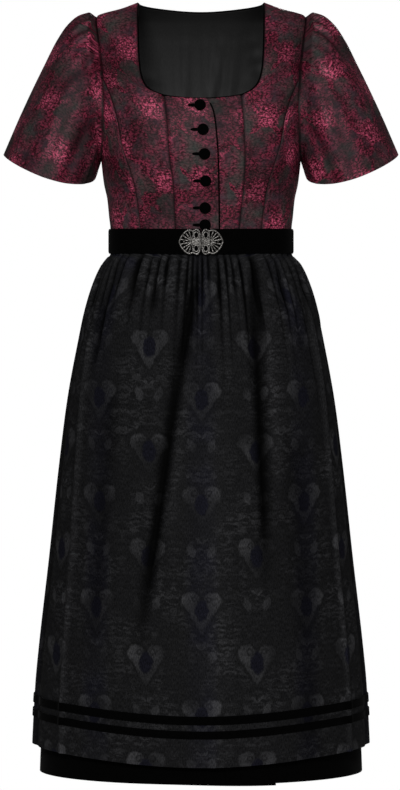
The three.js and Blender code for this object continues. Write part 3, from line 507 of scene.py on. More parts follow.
def silk_brocade():
    """Silky floral brocade on a charcoal ground that drifts between greenish and dull red, as two
    warps mix. Crimson peonies with leaves stand in half-drop columns among wisps of crimson; the
    floats are broken by black binding threads, drawn 2.4 mm apart so that they show, and by
    curls of lace. Painted shade from the shade attribute darkens seams' grooves and the sleeves'
    stitch line and crease hollows towards black; a slow noise brightens and dulls the cloth in
    patches as painted sheen."""
    material, node, shader = new_material("silk_brocade")
    cloth = node("VectorMath SCALE", node("UVMap", uv_map="cloth"), Scale=1 / MM)
    drift = node("TexNoise", cloth, Scale=1 / DRIFT_SIZE, Detail=5.0, out="Color")
    drift = node("VectorMath SUBTRACT", drift, (0.5, 0.5, 0.5))
    drift = node("VectorMath SCALE", drift, Scale=DRIFT)
    spot = node("VectorMath ADD", cloth, drift)
    x, y = half_drop(node, spot, PEONY_COLUMN, PEONY_REPEAT)
    inside, strokes = peony(node, x, y, PEONY_RADIUS)
    aside = node("VectorMath ADD", spot, (PEONY_COLUMN * 0.5, PEONY_REPEAT * 0.25, 0))
    bud_x, bud_y = half_drop(node, aside, PEONY_COLUMN, PEONY_REPEAT)
    bud_inside, bud_strokes = peony(node, bud_x, bud_y, BUD_RADIUS)
    # The drawing: peonies and their leaves, half a repeat from the buds with one leaf each.
    low, high = (leaf(node, x, y, *drawn) for drawn in PEONY_LEAVES)
    sprig = leaf(node, bud_x, bud_y, *BUD_LEAF)
    leaves = node("Math MAXIMUM", node("Math MAXIMUM", low, high), sprig)
    leaves = node("MapRange", leaves, 0.0, 0.35, 0.0, 0.9)
    threads = node("VectorMath MULTIPLY", cloth, (1 / FLOAT_LENGTH, 1 / FLOAT_APART, 0))
    threads = node("TexNoise", threads, Scale=1.0, Detail=3.0, out="Fac")
    petals = node("Math MAXIMUM", inside, bud_inside)
    petals = node("MapRange", petals, 0.0, 0.25, 0.0, 1.0)
    glow = node("MapRange", node("Math ADD", inside, threads), 0.4, 1.15, 0.0, 1.0)
    # What mixes it: a haze of the redder warp, wisps of crimson in it, and black curls of lace.
    haze = node("TexNoise", cloth, Scale=1 / HAZE_SIZE, Detail=2.0, out="Fac")
    haze = node("MapRange", haze, 0.38, 0.58, 0.0, 1.0)
    # Painted sheen: a slow noise brightens and dulls the cloth in patches, as satin catching light.
    painted_sheen = node("TexNoise", cloth, Scale=1 / PAINTED_SHEEN_SIZE, Detail=2.0, out="Fac")
    painted_sheen = node("MapRange", painted_sheen, 0.35, 0.65, 0.5, 1.15)
    curls = node("TexNoise", spot, Scale=1 / LACE_SIZE, Detail=3.0, out="Fac")
    lace = node("Math ABSOLUTE", node("Math SUBTRACT", curls, 0.5))
    lace = node("MapRange", lace, 0.015, 0.06, 0.85, 0.0)
    wisps = node("TexNoise", spot, Scale=1 / WISP_SIZE, Detail=4.0, out="Fac")
    wisps = node("MapRange", wisps, 0.36, 0.62, 0.0, 0.95)
    wisps = node("Math MULTIPLY", wisps, node("MapRange", haze, 0.0, 1.0, 0.3, 1.0))
    red = node("Math MAXIMUM", node("Math MAXIMUM", leaves, wisps), petals)
    # The colours, from the ground up to the black of strokes and lace and the painted shade.
    ground = node("Mix", numbered={0: haze, 6: GROUND[0], 7: GROUND[1]}, out=2, data_type="RGBA")
    crimson = node("Mix", numbered={0: glow, 6: CRIMSON[0], 7: CRIMSON[1]}, out=2, data_type="RGBA")
    floats = node("MapRange", threads, 0.38, 0.5, 0.15, 1.0)
    crimson = node("Mix", numbered={0: floats, 6: BINDING_AND_PAINTED_SHADE, 7: crimson}, out=2, data_type="RGBA")
    colour = node("Mix", numbered={0: red, 6: ground, 7: crimson}, out=2, data_type="RGBA")
    strokes = node("MapRange", bud_inside, 0.0, 0.05, strokes, bud_strokes)
    strokes = node("Math MULTIPLY", petals, strokes)
    lace = node("Math MULTIPLY", lace, node("MapRange", red, 0.0, 0.7, 0.4, 1.0))
    strokes_lace_and_painted_shade = node("Math MAXIMUM", node("Math MULTIPLY", strokes, 0.9), lace)
    # Painted shade: the shade attribute darkens seams, the sleeves' stitch line and their creases.
    seam = node("Attribute", attribute_name="shade", out="Fac")
    strokes_lace_and_painted_shade = node("Math MAXIMUM", strokes_lace_and_painted_shade, node("Math MULTIPLY", seam, 0.9))
    colour = node("Mix", numbered={0: strokes_lace_and_painted_shade, 6: colour, 7: BINDING_AND_PAINTED_SHADE}, out=2, data_type="RGBA")
    shade = node("Math MULTIPLY", node("MapRange", threads, 0.3, 0.7, 0.65, 1.35), painted_sheen)
    colour = node("VectorMath SCALE", colour, Scale=shade)
    relief = node("Math MULTIPLY_ADD", threads, 0.6, node("Math SUBTRACT", red, strokes_lace_and_painted_shade))
    bump = node("Bump", Strength=0.2, Distance=0.0004, Height=relief)
    roughness = node("MapRange", red, 0.0, 1.0, 0.6, 0.45)
    finish_shader(shader, Base_Color=colour, Normal=bump, Roughness=roughness,
                  Specular_IOR_Level=0.15)
    return material


def black_velvet():
    """Cotton velvet: the pile swallows light face on and glows faintly at the edges."""
    material, node, shader = new_material("black_velvet")
    spot = node("TexCoord", out="Object")
    nap = node("TexNoise", spot, Scale=NAP_IN_METRE, Detail=3.0, out="Fac")
    colour = node("Mix", numbered={0: nap, 6: "#010101", 7: "#050505"}, out=2, data_type="RGBA")
    bump = node("Bump", Strength=0.3, Distance=0.0005, Height=nap)
    finish_shader(shader, Base_Color=colour, Normal=bump, Roughness=0.95, Specular_IOR_Level=0.03,
                  Sheen_Weight=0.02, Sheen_Roughness=0.4)
    return material


def lining_satin_finish():
    """Acetate lining: a fine smooth satin with a soft low gloss."""
    material, node, shader = new_material("lining_satin")
    spot = node("TexCoord", out="Object")
    thread = node("VectorMath MULTIPLY", spot, LINING_THREADS_IN_METRE)
    thread = node("TexNoise", thread, Scale=1.0, Detail=2.0, out="Fac")
    colour = node("Mix", numbered={0: thread, 6: "#1d1d1d", 7: "#313131"}, out=2, data_type="RGBA")
    bump = node("Bump", Strength=0.15, Distance=0.0003, Height=thread)
    finish_shader(shader, Base_Color=colour, Normal=bump, Roughness=0.5, Specular_IOR_Level=0.15)
    return material


PANEL_SHIFT = 37.0  # mm on along the cloth for each letter of a panel's name
brocade = silk_brocade()


def near_seam(points, seams):
    """A bell over the distance to the nearest of a panel's seams, 1 at the seam itself."""
    across, along = run_lengths(points, 1), run_lengths(points, 0)
    reach = {"left": across, "right": across[:, -1:] - across,
             "bottom": along, "top": along[-1:] - along}
    nearest = np.min([reach[seam] for seam in seams], axis=0)
    return np.exp(-(nearest / SEAM_WIDTH) ** 2)


def creased(points):
    """The bodice's soft creases: bells over the distance to each crease's line, in x and z on its
    own side of the body, tapered along the line as the sine of its share."""
    x, y, z = np.moveaxis(points, -1, 0)
    height = 0
    for facing, from_x, from_z, to_x, to_z, depth, half_width in BODICE_CREASES:
        run = np.hypot(to_x - from_x, to_z - from_z)
        along = ((x - from_x) * (to_x - from_x) + (z - from_z) * (to_z - from_z)) / run ** 2
        away = ((x - from_x) * (to_z - from_z) - (z - from_z) * (to_x - from_x)) / run
        taper = np.sin(np.pi * np.clip(along, 0, 1)) ** 0.7 * (y * facing > 0)
        height = height + depth * taper * np.exp(-(away / half_width) ** 2)
    return height


def add_panel(name, edges, columns, rows, seams=("left", "right"), lift=None, shape=torso,
              wall=BROCADE, finish=None, depth=0):
    """A bodice panel: its patch laid on the body, moved out by lift and in at its seams, which also
    take painted shade.
    """
    angle, z = patch(*edges, columns, rows)
    points = shape(angle, z)
    normal = outward(shape, angle, z)
    seam = near_seam(points, seams)
    height = creased(points) - SEAM_DEPTH * seam - depth
    if lift is not None:
        height = height + lift(points)
    points = points + normal * height[..., None]
    across = run_lengths(points, 1)
    uv = np.stack([across - across[:, -1:] / 2, run_lengths(points, 0)], axis=-1)
    uv += np.array([len(name) * PANEL_SHIFT, points[0, 0, 0]])
    piece = add_grid(name, points, finish or brocade, uv * MM, wall, shade=seam)
    fit(piece, name.removeprefix("cloth_"))


BODICE_CREASES = [
    # facing, from x, from z, to x, to z, height, half width
    (-1, -138, -196, -72, -238, -1.3, 6),
    (-1, -130, -262, -62, -246, -1.1, 5),
    (-1, -134, -318, -48, -330, -1.0, 5),
    (-1, -60, -300, -10, -312, -0.9, 4),
    (-1, -52, -206, -6, -200, -0.8, 4),
    (-1, -50, -262, 0, -274, -0.9, 5),
    (-1, 12, -234, 60, -226, -0.8, 4),
    (-1, 26, -296, 62, -288, -0.9, 4),
    (-1, 70, -322, 132, -330, -1.1, 5),
    (-1, 66, -236, 138, -200, -1.3, 6),
    (-1, 74, -262, 134, -270, -1.1, 6),
    (-1, -148, -60, -104, -88, -1.1, 6),
    (-1, 148, -70, 106, -98, -1.1, 6),
    (1, -128, -190, -70, -262, -1.6, 8),
    (1, 128, -180, 74, -256, -1.6, 8),
    (1, -96, -318, -20, -330, -1.6, 6),
    (1, 104, -312, 26, -322, -1.5, 6),
    (1, -60, -286, 44, -292, -1.2, 6),
    (1, -132, -90, -60, -112, -1.2, 8),
    (1, 132, -84, 66, -120, -1.2, 8),
]


def placket_lift(points):
    return PLACKET_LIFT * smoothstep(points[..., 0], *PLACKET_RISE_X)


centre_rows = shares(60)
add_panel("cloth_centre_front_right",
          (PRINCESS[-1], PLACKET, waist_edge(PRINCESS[-1](0.0), PLACKET(0.0)),
           neck_edge(-PRINCESS_TOP_X[-1], PLACKET_TOP_X)), shares(24), centre_rows,
          seams=["left"], lift=placket_lift)
add_panel("cloth_centre_front_left",
          (UNDER_EDGE, PRINCESS[1], waist_edge(UNDER_EDGE(0.0), PRINCESS[1](0.0)),
           neck_edge(UNDER_EDGE_X, PRINCESS_TOP_X[1])), shares(22), centre_rows, seams=["right"])

tall_rows = np.unique(np.concatenate([shares(96), [0.5]]))
for side, side_name in [(-1, "right"), (1, "left")]:
    outer_seam = side_front_seam(side)
    strap = lambda v, s=side: armhole(s, FRONT_JOIN * (1 - np.asarray(v)))
    shoulder = lambda u, s=side: place(
        s * np.pi / 2 + 0 * u, SHOULDER_END_Z + (NECK_POINT_Z - SHOULDER_END_Z) * u)
    add_panel(f"cloth_side_front_{side_name}",
              (joined(outer_seam, strap), joined(PRINCESS[side], neck_side(side)),
               waist_edge(outer_seam(0.0), PRINCESS[side](0.0)), shoulder),
              shares(20), tall_rows)
    rear_seam = back_seam(side)
    under = lambda u, s=side: armhole(s, FRONT_JOIN + (BACK_JOIN - FRONT_JOIN) * np.asarray(u))
    add_panel(f"cloth_side_panel_{side_name}",
              (outer_seam, rear_seam, waist_edge(outer_seam(0.0), rear_seam(0.0)), under),
              shares(30), shares(44), seams=["left", "right", "top"])


def mirrored(places):
    return np.stack([2 * np.pi - places[..., 0], places[..., 1]], axis=-1)


def back_neck(share):
    """The back neckline: it dips between the neck points as a sine to the power 1.2."""
    share = np.asarray(share, float)
    dip = NECK_BACK_DIP * np.maximum(0, np.sin(np.pi * share)) ** 1.2
    return place(np.pi / 2 + np.pi * share, NECK_POINT_Z - dip)


SHOULDER_SHARE = 0.2  # of the back's top edge, at each end


def back_top(share):
    """The back's top edge: a shoulder seam, the neckline and the other shoulder seam."""
    share = np.asarray(share, float)
    near = np.minimum(share, 1 - share) / SHOULDER_SHARE
    rise = SHOULDER_END_Z + (NECK_POINT_Z - SHOULDER_END_Z) * np.minimum(near, 1)
    angle = np.where(share < 0.5, np.pi / 2, 1.5 * np.pi)
    neck = back_neck(np.clip((share - SHOULDER_SHARE) / (1 - 2 * SHOULDER_SHARE), 0, 1))
    return np.where((near < 1)[..., None], place(angle, rise), neck)


back_side = joined(back_seam(1), lambda v: armhole(1, BACK_JOIN + (2 * np.pi - BACK_JOIN) * v))
BACK_EDGES = (back_side, lambda v: mirrored(back_side(v)),
              waist_edge(back_side(0.0), mirrored(back_side(0.0))), back_top)
back_columns = np.unique(np.concatenate([shares(60), [SHOULDER_SHARE, 1 - SHOULDER_SHARE]]))
add_panel("cloth_back", BACK_EDGES, back_columns, tall_rows)

# ---- Back lining ---------------------------------------------------------------------------
# Black lining satin sewn inside the back. It hangs a little loose, so a few soft creases lean
# down it from the neck.
LINING, LAY, LINING_LOOSE = 1.0, 0.35, 0.6
LINING_CREASE_TOP, LINING_CREASE_FOOT = (10, 60), (300, 350)  # mm down, growing and dying
lining_satin = lining_satin_finish()
LINING_CREASES = [
    # x at the neck, x lean for each mm down, height, half width
    (-70, 0, 2.0, 6),
    (-52, 0.05, 2.8, 6),
    (-21, -0.04, 3.6, 7),
    (6, 0.02, 3.4, 3.5),
    (40, -0.17, 4.2, 3.5),
    (57, -0.1, 3.4, 5),
    (68, 0.24, 4.2, 4),
]


def lining_creases(points):
    """Ridges down the lining: bells over the distance to each crease's leaning line, growing
    below the neck and dying at the waist."""
    x, z = points[..., 0], points[..., 2]
    fade = smoothstep(-z, *LINING_CREASE_TOP) * (1 - smoothstep(-z, *LINING_CREASE_FOOT))
    return -fade * sum(height * np.exp(-((x - at + lean * z) / half_width) ** 2)
                       for at, lean, height, half_width in LINING_CREASES)


add_panel("cloth_back_lining", BACK_EDGES, back_columns, tall_rows, lift=lining_creases,
          wall=LINING, finish=lining_satin, depth=BROCADE + LAY + LINING_LOOSE)

# ---- Pipings -------------------------------------------------------------------------------
# Narrow black velvet piping, a cord in a bias strip, sewn into the neck edge all round and into
# the edge of the buttonhole side.
PIPING_RADIUS, PIPING_SHOWN = 1.5, 1.0  # sewn in, and as it stands out of the seam
NECK_CORD_RADIUS, NECK_CORD_ASIDE, NECK_CORD_IN = 1.25, 0.5, 1.0  # it caps the neck's raw edge
PLACKET_CORD_OFF = 0.71 * PIPING_RADIUS + LAY  # its middle from the placket's edge
PLACKET_CORD_OVER, PLACKET_CORD_SHARE = 0.4, 0.955  # further out, and up to the neck's cord
CORD_SIDES, CORD_STEPS, ROUNDINGS = 8, 60, 4
velvet = black_velvet()


def way_along(path, is_loop):
    """The way a path runs at each point: from the point before to the one after."""
    ahead = np.roll(path, -1, axis=0) - np.roll(path, 1, axis=0)
    if not is_loop:
        ahead[0], ahead[-1] = path[1] - path[0], path[-1] - path[-2]
    return ahead


def sweep(path, radius, sides=CORD_SIDES, is_loop=False, up=None):
    """A round profile carried along a path: at each point a circle square to the way the path
    runs there, set by the path's up vectors. radius is one number or one for each point."""
    ahead = unit(way_along(path, is_loop))
    aside = unit(np.cross(ahead, up))
    over = np.cross(aside, ahead)
    turn = np.linspace(0, 2 * np.pi, sides, endpoint=False)
    size = np.broadcast_to(radius, len(path))[:, None, None]
    circle = aside[:, None] * np.cos(turn)[:, None] + over[:, None] * np.sin(turn)[:, None]
    return path[:, None] + circle * size


def add_tubes(name, tubes, finish):
    """Joins tubes, each a grid of rings, into one mesh with its ends closed."""
    points, faces, start = [], [], 0
    for rings, is_loop in tubes:
        rows, sides = rings.shape[:2]
        index = start + np.arange(rows * sides).reshape(rows, sides)
        if is_loop:
            index = np.concatenate([index, index[:1]])
        wrapped = np.concatenate([index, index[:, :1]], axis=1)
        quads = [wrapped[:-1, :-1], wrapped[:-1, 1:], wrapped[1:, 1:], wrapped[1:, :-1]]
        faces += np.stack(quads, axis=-1).reshape(-1, 4).tolist()
        if not is_loop:
            faces += [index[0][::-1].tolist(), index[-1].tolist()]
        points.append(rings.reshape(-1, 3))
        start += rows * sides
    return add_mesh(name, np.concatenate(points), faces, finish)


def edge_cord(places, aside_by, over_by, is_loop):
    """A path beside an edge on the body: moved off it across the cloth and over its face. A loop
    is rounded at its corners: each point takes its mean with its neighbours, four times."""
    angle, z = places[..., 0], places[..., 1]
    path, normal = torso(angle, z), outward(torso, angle, z)
    aside = unit(np.cross(way_along(path, is_loop), normal))
    path = path + aside * aside_by + normal * over_by
    for _ in range(ROUNDINGS * is_loop):
        path = (np.roll(path, 1, axis=0) + 2 * path + np.roll(path, -1, axis=0)) / 4
    return path, normal


part = np.linspace(0, 1, CORD_STEPS, endpoint=False)
neck_loop = np.concatenate([back_neck(part), neck_side(-1)(1 - part),
                            neck_edge(-PRINCESS_TOP_X[-1], PRINCESS_TOP_X[1])(part),
                            neck_side(1)(part)])
placket_run = PLACKET(np.linspace(0, PLACKET_CORD_SHARE, 90))
for name, edge, aside_by, over_by, radius, is_loop in [
        ("neck_piping", neck_loop, -NECK_CORD_ASIDE, -NECK_CORD_IN, NECK_CORD_RADIUS, True),
        ("placket_piping", placket_run, PLACKET_CORD_OFF, PLACKET_CORD_OFF + PLACKET_CORD_OVER,
         PIPING_SHOWN, False)]:
    path, normal = edge_cord(edge, aside_by, over_by, is_loop)
    rings = sweep(path, radius, CORD_SIDES, is_loop, normal)
    fit(add_tubes("cloth_" + name, [(rings, is_loop)], velvet), name)

# ---- Sleeves -------------------------------------------------------------------------------
# Short puffed sleeves in the same brocade, eased into the armhole with small gathers over the
# cap and finished with a narrow turned hem.
SLEEVE_ROWS = [
    # ring, outer x, outer z, inner x, inner z, half depth
    (1, 168, -19, 150.8, -243, 69),
    (2, 181, -23, 151.8, -245.5, 73),
    (3, 198, -36, 152.6, -248, 77),
    (4, 215, -58, 153.4, -250, 80),
    (5, 240, -106, 154.4, -252.5, 83),
    (6, 269, -167, 155.6, -255.5, 85),
    (7, 296, -229, 157, -258, 86),
]
SLEEVE_GATHERS, SLEEVE_SPREAD, SLEEVE_GATHER = 8, np.radians(62), 3.0
HEM_DIP, HEM_INNER_DIP, HEM_BACK_RISE = 19.5, 17, 13
SLEEVE_AXIS, SLEEVE_ASIDE = np.array([0.561, 0, -0.828]), np.array([0.828, 0, 0.561])
SLEEVE_MIDDLE, SLEEVE_RADIUS = np.array([155, 0, -131]), 92
SLEEVE_CREASES = [
    # from ring, to ring, from angle, to angle, height, half width
    (0.1, 3.2, 24, 18, -2.6, 6),
    (0.1, 5.0, 44, 31, -3.0, 8),
    (0.1, 2.4, 66, 74, -2.6, 6),
    (0.1, 5.8, 84, 60, -2.6, 9),
    (0.3, 7.6, 121, 112, -4.5, 12),
    (1.0, 7.6, 142, 140, 3.0, 9),
    (2.5, 7.6, 82, 86, -2.4, 13),
    (0.1, 4.6, -34, -24, -3.0, 8),
    (0.1, 2.6, -58, -64, -2.4, 6),
    (0.1, 6.0, -88, -66, -3.0, 10),
    (0.3, 7.6, -124, -114, -4.0, 12),
    (2.5, 7.6, -94, -90, 2.6, 12),
]
LAST_RING = 7
SLEEVE_DOWN, SLEEVE_ROUND = 64, 240  # rows and columns of its mesh
SLEEVE_CLEAR = 0.6  # from the bodice's edge, at the armhole
STITCH_UP, STITCH_WIDTH, STITCH_DEPTH = 11, 1.3, 0.7  # the line where the hem is caught down
ALLOWANCE_IN, ALLOWANCE_ASIDE = 2.5, 5  # how the armhole's allowance is turned in
# Painted shade: how wide it is at the armhole seam, and how dark along the hem's stitch line.
ARMHOLE_SHADE_WIDTH, STITCH_SHADE = 2.4, 0.35
HOLLOW_SHADE, HOLLOW_DEPTH = 0.6, 4  # how dark the painted shade of a fold of this depth is
sleeve_ring = table(SLEEVE_ROWS)


def sleeve_base(side, ring, turn):
    """The sleeve's rings, spread like a fan from the underarm: ring 0 is the armhole, and each
    later one a half ellipse either side of its outer and inner point, dipped towards the hem,
    less so behind."""
    root = torso(*np.moveaxis(armhole(side, turn), -1, 0)) + [side * SLEEVE_CLEAR, 0, 0]
    out_x, out_z, in_x, in_z, half_depth = sleeve_ring(np.maximum(ring, 1))
    across = (1 + np.cos(turn)) / 2
    bulge = np.abs(np.sin(turn))
    dip = HEM_DIP * bulge ** 1.2 + HEM_INNER_DIP * (1 - across) * bulge ** 0.7
    dip = dip - HEM_BACK_RISE * np.maximum(0, -np.sin(turn))
    point = np.stack([side * (in_x + (out_x - in_x) * across), -half_depth * np.sin(turn),
                      in_z + (out_z - in_z) * across - (ring / LAST_RING) ** 2 * dip], axis=-1)
    blend = np.clip(ring, 0, 1)[..., None]
    return root + (point - root) * blend


def sleeve_normal(side, ring, turn, down=0.2, aside=0.03):
    """The way off a sleeve: the cross product of its small steps round and down."""
    along = sleeve_base(side, np.minimum(ring + down, LAST_RING), turn)
    along = along - sleeve_base(side, np.maximum(ring - down, 0), turn)
    around = sleeve_base(side, ring, turn + aside) - sleeve_base(side, ring, turn - aside)
    return unit(np.cross(around, along)) * side


def sleeve_gather(ring, turn):
    """Cap gathers: a cosine across the cap, dying out towards its ends and down the sleeve."""
    share = np.arctan2(np.sin(turn), np.cos(turn)) / SLEEVE_SPREAD
    inside = np.clip(1 - share ** 4, 0, 1)
    fade = smoothstep(ring, 0, 1) * (1 - smoothstep(ring, 2.2, 5))
    return SLEEVE_GATHER * fade * inside * np.cos(SLEEVE_GATHERS * np.pi * share)


def sleeve_crease(side, ring, turn):
    """Soft folds down the sleeve: each a bell about its line, which runs from one angle to
    another between two rings and tapers at its ends; the two sleeves' lie 4 degrees apart."""
    height = 0
    for start, end, from_angle, to_angle, depth, half_width in SLEEVE_CREASES:
        share = np.clip((ring - start) / (end - start), 0, 1)
        away = turn - np.radians(from_angle + (to_angle - from_angle) * share + 2 * side)
        away = np.arctan2(np.sin(away), np.cos(away)) * SLEEVE_RADIUS
        taper = np.sin(np.pi * share) ** 0.6
        height = height + depth * taper * np.exp(-(away / half_width) ** 2)
    return height


def sleeve_cloth(side, points):
    """Where the points lie on the flat cloth: down the sleeve's axis, and round it by the angle
    times its radius, run on from the underarm without a jump, and closed by the first column."""
    off = (points - SLEEVE_MIDDLE * [side, 1, 1]) * [side, 1, 1]
    turn = np.unwrap(np.arctan2(-off[..., 1], off @ SLEEVE_ASIDE), axis=1)
    turn = np.concatenate([turn, turn[:, :1] + 2 * np.pi], axis=1)
    along = off @ SLEEVE_AXIS
    along = np.concatenate([along, along[:, :1]], axis=1)
    return np.stack([side * turn * SLEEVE_RADIUS, -along], axis=-1) * MM


def add_sleeve(side, side_name):
    """A sleeve: its rings with their gathers and creases, a groove where the hem is caught, and
    an allowance turned in under the armhole's edge. Painted shade darkens the armhole seam, the
    allowance, the hem's stitch line and the creases' hollows."""
    turns = np.pi + 0.01 + np.linspace(0, 2 * np.pi, SLEEVE_ROUND, endpoint=False)
    ring, turn = np.meshgrid(shares(SLEEVE_DOWN, 0.008) * LAST_RING, turns, indexing="ij")
    base = sleeve_base(side, ring, turn)
    down = run_lengths(base, 0)
    stitched = np.exp(-((down[-1:] - down - STITCH_UP) / STITCH_WIDTH) ** 2)
    stitched = stitched * (ring > LAST_RING / 2)
    height = sleeve_gather(ring, turn) + sleeve_crease(side, ring, turn) - STITCH_DEPTH * stitched
    points = base + sleeve_normal(side, ring, turn) * height[..., None]
    angle, z = np.moveaxis(armhole(side, turn[0]), -1, 0)
    allowance = base[0] - outward(torso, angle, z) * ALLOWANCE_IN - [side * ALLOWANCE_ASIDE, 0, 0]
    # Painted shade: dark at the armhole seam and the allowance, along the stitch line and in the
    # creases' hollows.
    shade = np.maximum(np.exp(-(down / ARMHOLE_SHADE_WIDTH) ** 2), STITCH_SHADE * stitched)
    shade = np.maximum(shade, HOLLOW_SHADE * np.clip(-height / HOLLOW_DEPTH, 0, 1))
    points = np.concatenate([allowance[None], points])
    shade = np.concatenate([shade[:1], shade])
    piece = add_grid(f"cloth_sleeve_{side_name}", points, brocade, sleeve_cloth(side, points),
                     BROCADE, True, points.reshape(-1, 3).mean(axis=0), shade)
    fit(piece, f"sleeve_{side_name}")


add_sleeve(-1, "right")
add_sleeve(1, "left")

# ---- Skirt and apron -----------------------------------------------------------------------
# A wide plain black skirt, and over it a jacquard apron that wraps to behind the sides. Both are
# rectangles gathered into the waist: fine gathers below the belt run into a few long soft folds.
SKIRT_CLOTH, JACQUARD = 1.4, 1.4
APRON_HEM_Z, APRON_SIDE_RISE, APRON_RISE_DOWN, SKIRT_HEM_Z = -1126, 16, (800, 1040), -1149
APRON_EDGE_ANGLE = np.radians(112)
SKIRT_COMES_OUT, SKIRT_OUT_SHARE = np.radians([115, 138]), 0.75  # of the distance inside
APRON_GATHERS, SKIRT_GATHERS, GATHER_HEIGHT = 36, 18, 2.8
LAYER_TOP, GATHER_TOP, TILT_HEIGHTS = -358.3, -380, (-460, -380)
SKIRT_ROWS = [
    # z, half width, depth in front, depth behind, squareness, distance of the skirt inside
    (-350, 135.5, 93.7, 85.9, 2.4, 2.2),
    (-379, 135.4, 93.6, 86, 2.4, 2.8),
    (-388, 142, 98.5, 92, 2.4, 6),
    (-397, 149, 102, 101, 2.3, 9),
    (-423, 161, 109, 113, 2.25, 11),
    (-462, 173.5, 118, 126, 2.2, 12),
    (-512, 185, 127, 137, 2.15, 12),
    (-597, 201, 140, 150, 2.1, 12),
    (-693, 213, 152, 162, 2.05, 12),
    (-834, 228, 168, 175, 2, 13),
    (-978, 243, 182, 187, 2, 14),
    (-1040, 248.5, 187, 192, 2, 14),
    (-1126, 253, 191, 196, 2, 14),
    (-1170, 254.5, 193, 198, 2, 14),
]
FOLD_PAINTED_SHADE_AT, GATHER_PAINTED_SHADE_AT = 10 / 1.4, 10 / 3  # mm deep, where the painted shade of the hollow is darkest
GATHER_ROWS = [(-350, 0.2), (-380, 0.35), (-390, 1), (-410, 1), (-440, 0.7), (-480, 0.35),
               (-540, 0.05), (-600, 0)]
FOLDS = [
    # from angle, to angle, from z, to z, height, half width
    (1, -30, -390, -985, -8, 10),
    (38, 32, -390, -880, -7.5, 10),
    (56, 54, -388, -470, -5, 6),
    (-63, -65, -386, -555, -6, 8),
    (-77, -75, -390, -470, -4, 7),
    (-37, -46, -388, -455, -5, 6),
    (-30, -33, -400, -475, -4, 6),
    (14, 15, -390, -460, -4, 6),
    (-13, -12, -388, -440, -3, 5),
    (26, 25, -388, -452, -3.5, 5),
    (72, 70, -388, -500, -4, 7),
    (-6, -17, -520, -820, 3, 12),
    (45, 40, -430, -760, 3, 10),
    (-52, -50, -560, -1000, -3, 14),
    (8, 6, -600, -1126, 2.5, 22),
    (52, 48, -640, -1126, -3, 20),
    (-71, -61, -480, -1126, 5, 5),
    (73, 66, -430, -1126, 5, 5),
    (-86, -80, -470, -1126, -4, 14),
    (88, 82, -470, -1126, -4, 14),
    (98, 101, -420, -1126, 3, 14),
    (-100, -104, -440, -1126, 3, 14),
    (150, 158, -400, -1147, 5, 20),
    (178, 171, -400, -1147, -6, 18),
    (-152, -162, -400, -1147, 5, 20),
    (-134, -140, -420, -1147, -5, 16),
    (132, 136, -420, -1147, -5, 16),
    (164, 166, -395, -760, -4, 10),
    (-171, -174, -395, -690, -4, 9),
    (-146, -148, -395, -600, -3.5, 9),
    (142, 145, -395, -560, -3.5, 8),
]
FOLD_START, FOLD_END = 45, (0.7, 1.05)  # mm in which it deepens, and shares where it fades
MEDALLION_COLUMN, MEDALLION_REPEAT = 81.5, 153  # mm between columns, and down a column
MEDALLION_SIZE = 29.0  # half its width
MEDALLION_TOP = -12.0  # mm from the waist to the repeat's start
TULIP_LOBE, TULIP_CURL, TULIP_CORE = (0.54, 0.5, 0), (0.36, 0.6, 0), (0, 0.06, 0)  # in half widths
TULIP_LOBE_RADIUS, TULIP_CURL_RADIUS, TULIP_CORE_SHARE = 0.5, 0.13, (2.7, 1.7, 0)
TULIP_TOP, TULIP_TAPER, TULIP_HALF_WIDTH = 0.45, 0.6, 0.72
TULIP_DROPS = [((0.5, -2.3), 1.2, 0.42, 0.24), ((0.16, -1.75), 0.7, 0.24, 0.08)]
STRAY, STRAY_SIZE = 9.0, 8  # mm that the drawing strays from true in the weave, and in what run
YARN_APART, YARN_LENGTH, WORN_SIZE = 1.3, 4.5, 75  # WORN_SIZE: the patches where it has dulled


